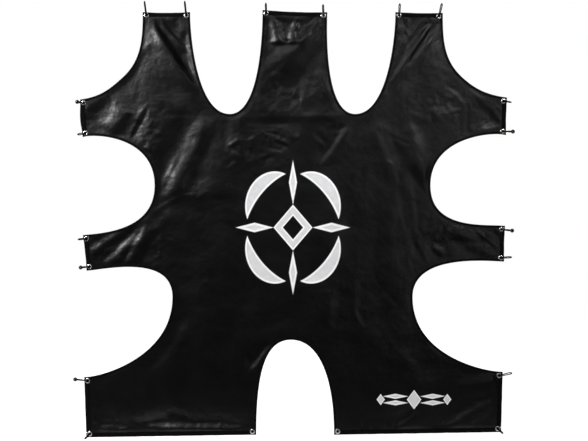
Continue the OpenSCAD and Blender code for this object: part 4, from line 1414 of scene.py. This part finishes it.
def make_stitching(face, sign):
    """All stitches of one face: small threads, each a bowed tube that dips at its ends.

    Along a stitch its height is a parabola less the dip, its radius falls off to its
    ends, and it leans a little across its row.
    """
    middles = np.concatenate([row[0] for row in stitch_rows])
    tangents = np.concatenate([row[1] for row in stitch_rows])
    y = np.concatenate([-rise + sign * (half_t + STITCH_LIFT)
                        for _, _, rise, half_t in stitch_rows])
    t = np.linspace(-1, 1, STITCH_STEPS)
    bow = (1 - t ** 2) * STITCH_BOW - STITCH_DIP
    thick = STITCH_R * np.sqrt(np.clip(1.08 - t ** 2, 0.08, 1))
    turn = np.linspace(0, 2 * math.pi, STITCH_SIDES, endpoint=False) * sign
    lean = STITCH_LEAN * STITCH_HALF * t
    along = tangents[:, None, None] * (STITCH_HALF * t)[None, :, None, None]
    across = (thick[:, None] * np.cos(turn) + lean[:, None])[None, ..., None]
    place = middles[:, None, None] + along - to_right(tangents)[:, None, None] * across
    height = y[:, None, None] + sign * (bow[:, None] + thick[:, None] * np.sin(turn))[None]
    points = np.stack([place[..., 0], height, place[..., 1]], axis=-1)
    quads, rows_of, columns_of = loop_faces(STITCH_STEPS, STITCH_SIDES)
    last = (STITCH_STEPS - 1) * STITCH_SIDES
    ends = np.array([[0, 5, 4, 3], [0, 3, 2, 1], [0, 1, 2, 3], [0, 3, 4, 5]])
    ends[2:] += last
    one = np.concatenate([quads, ends])
    offsets = np.arange(len(middles))[:, None, None] * STITCH_STEPS * STITCH_SIDES
    faces = (one[None] + offsets).reshape(-1, 4)
    uv_one = np.concatenate([
        np.stack([rows_of * 0.8 * MM, columns_of * 0.3 * MM], -1), np.zeros((4, 4, 2))])
    uv = np.tile(uv_one.reshape(1, -1, 2), (len(middles), 1, 1))
    piece = mesh_piece(f"{face}_stitching", points, faces, THREAD, uv)
    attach(piece, "root")
    return piece


hems = [make_hem(i) for i in range(len(HEM_NODES))]
bindings = [make_binding(k) for k in range(len(CUTS))]
threads = [make_stitching("front", -1), make_stitching("back", 1)]


# --- Eyelets --------------------------------------------------------------------

EYELET_SIDES = 56
EYELET_TILT = 0.02


def eyelet_profile():
    """Section of an eyelet as (radius, height): rolled crown, sloping flange, barrel and
    the lip rolled over behind. Height is towards the viewer."""
    turn = np.linspace(math.pi, math.pi / 2, 8)
    crown = np.stack([6.3 + 0.8 * np.cos(turn), 1.75 + 0.85 * np.sin(turn)], axis=-1)
    slope = np.array([[7.2, 2.56], [8.2, 2.36], [9.2, 2.05], [9.9, 1.7]])
    edge = np.array([[10.3, 1.42], [10.5, 1.2], [10.4, 1.0]])
    under = np.array([[8.0, 1.0], [6.1, 0.9], [6.1, -1.7]])
    lip = np.array([[7.2, -1.95], [7.35, -2.25], [7.1, -2.6], [6.5, -2.75], [5.9, -2.6],
                    [5.55, -2.2]])
    wall = np.array([[5.5, -1.2], [5.5, 0.0], [5.5, 1.2]])
    return np.concatenate([crown, slope, edge, under, lip, wall]) * MM


def make_eyelets(name, node, eyes):
    """Eyelets as one section turned round each hole, each with a small tilt of its own."""
    profile = eyelet_profile()
    turn = np.linspace(0, 2 * math.pi, EYELET_SIDES, endpoint=False)
    ring = np.stack([np.cos(turn), np.sin(turn)], axis=-1)
    flat = profile[None, :, 0, None] * ring[:, None]
    count = EYELET_SIDES * len(profile)
    quads, _, _ = loop_faces(EYELET_SIDES + 1, len(profile))
    quads = quads[:, ::-1] % count
    all_points, all_faces = [], []
    for i, eye in enumerate(eyes):
        tilt = rng.normal(0, EYELET_TILT, 2)
        y = -profile[None, :, 1] + flat @ tilt
        points = np.stack([eye[0] + flat[..., 0], y, eye[1] + flat[..., 1]], axis=-1)
        all_points.append(points.reshape(-1, 3))
        all_faces.append(quads + i * count)
    piece = mesh_piece(name, np.concatenate(all_points), np.concatenate(all_faces), NICKEL)
    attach(piece, "root")
    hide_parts(node)


make_eyelets("nickel_eyelets", "tied_eyelets", TOP + RIGHT + LEFT)
make_eyelets("foot_eyelets", "free_eyelets", [RIGHT_FOOT_EYE, LEFT_FOOT_EYE])
washers = frame["nodes"]["eyelet_washers"]
washers.data.materials.clear()
washers.data.materials.append(NICKEL)


# --- Floor, world and lamps ---------------------------------------------------

FLOOR_Z = -1.86
FLOOR_HALF_W = 5.0
FLOOR_Y = (-0.4, 7.0)
FLOOR_GLOW = 0.72
# The world as reflections see it before and behind the sheet, and as light falls from it
WORLD_BEFORE = 0.01
WORLD_BEHIND = 1.0
WORLD_LIGHT = 0.40
# Lamps: [name, place, point aimed at, width, height, power, spread in degrees]
LAMPS = [
    ("left_key", (-2.3, -1.9, 0.6), (-0.3, 0, -0.7), 0.45, 0.45, 78, 180),
    ("right_top", (1.5, -2.6, 1.3), (0.55, 0, -0.38), 0.7, 0.7, 1.3, 30),
    ("front_soft", (-0.8, -4.2, 1.6), (0, 0, -0.8), 1.0, 0.8, 14, 180),
    ("right_low", (1.6, -3.2, -0.9), (0.6, 0, -1.0), 0.8, 0.8, 3.0, 180)]


def make_floor():
    """A wide pale floor below the sheet, which keeps its shadow."""
    front, back = FLOOR_Y
    points = [(-FLOOR_HALF_W, front, FLOOR_Z), (FLOOR_HALF_W, front, FLOOR_Z),
              (FLOOR_HALF_W, back, FLOOR_Z), (-FLOOR_HALF_W, back, FLOOR_Z)]
    material, tree, shader, place, _ = new_material("pale_floor")
    grain = noise(tree, place, 40, 3)
    seen = tree.nodes.new("ShaderNodeLightPath").outputs["Is Camera Ray"]
    set_inputs(tree, shader, Base_Color=blended(tree, grain, (0.93,) * 3, (0.96,) * 3),
               Roughness=0.9, Specular_IOR_Level=0.1, Emission_Color=(1, 1, 1, 1),
               Emission_Strength=math_node(tree, "MULTIPLY", seen, FLOOR_GLOW))
    floor = mesh_piece("floor", points, [[0, 1, 2, 3]], material, smooth=False)


def make_world():
    """White to the camera; for reflections white behind the sheet and dim before it."""
    world = bpy.data.worlds.new("studio")
    bpy.context.scene.world = world
    world.use_nodes = True
    tree = world.node_tree
    tree.nodes.clear()
    m = partial(math_node, tree)
    path = tree.nodes.new("ShaderNodeLightPath").outputs
    way = split_axes(tree, tree.nodes.new("ShaderNodeTexCoord").outputs["Generated"])
    behind = between(tree, way[1], -0.1, 0.5, WORLD_BEFORE, WORLD_BEHIND)
    direct = m("MAXIMUM", path["Is Glossy Ray"], path["Is Transmission Ray"])
    reflected = m("MULTIPLY", behind, direct)
    other = m("MULTIPLY", m("SUBTRACT", 1, direct), WORLD_LIGHT)
    strength = m("MAXIMUM", path["Is Camera Ray"], m("ADD", reflected, other))
    background = tree.nodes.new("ShaderNodeBackground")
    set_inputs(tree, background, Color=(1, 1, 1, 1), Strength=strength)
    output = tree.nodes.new("ShaderNodeOutputWorld")
    feed(tree, output.inputs[0], background.outputs[0])


def area_lamp(name, place, aim, width, height, power, spread):
    """A soft lamp aimed at a point; its spread in degrees is that of the grid on it."""
    data = bpy.data.lights.new(name, "AREA")
    data.shape = "RECTANGLE"
    data.size = width
    data.size_y = height
    data.energy = power
    data.spread = math.radians(spread)
    lamp = bpy.data.objects.new(name, data)
    lamp.location = place
    lamp.rotation_euler = (Vector(aim) - Vector(place)).to_track_quat("-Z", "Y").to_euler()
    bpy.context.scene.collection.objects.link(lamp)


make_floor()
make_world()
for lamp in LAMPS:
    area_lamp(*lamp)
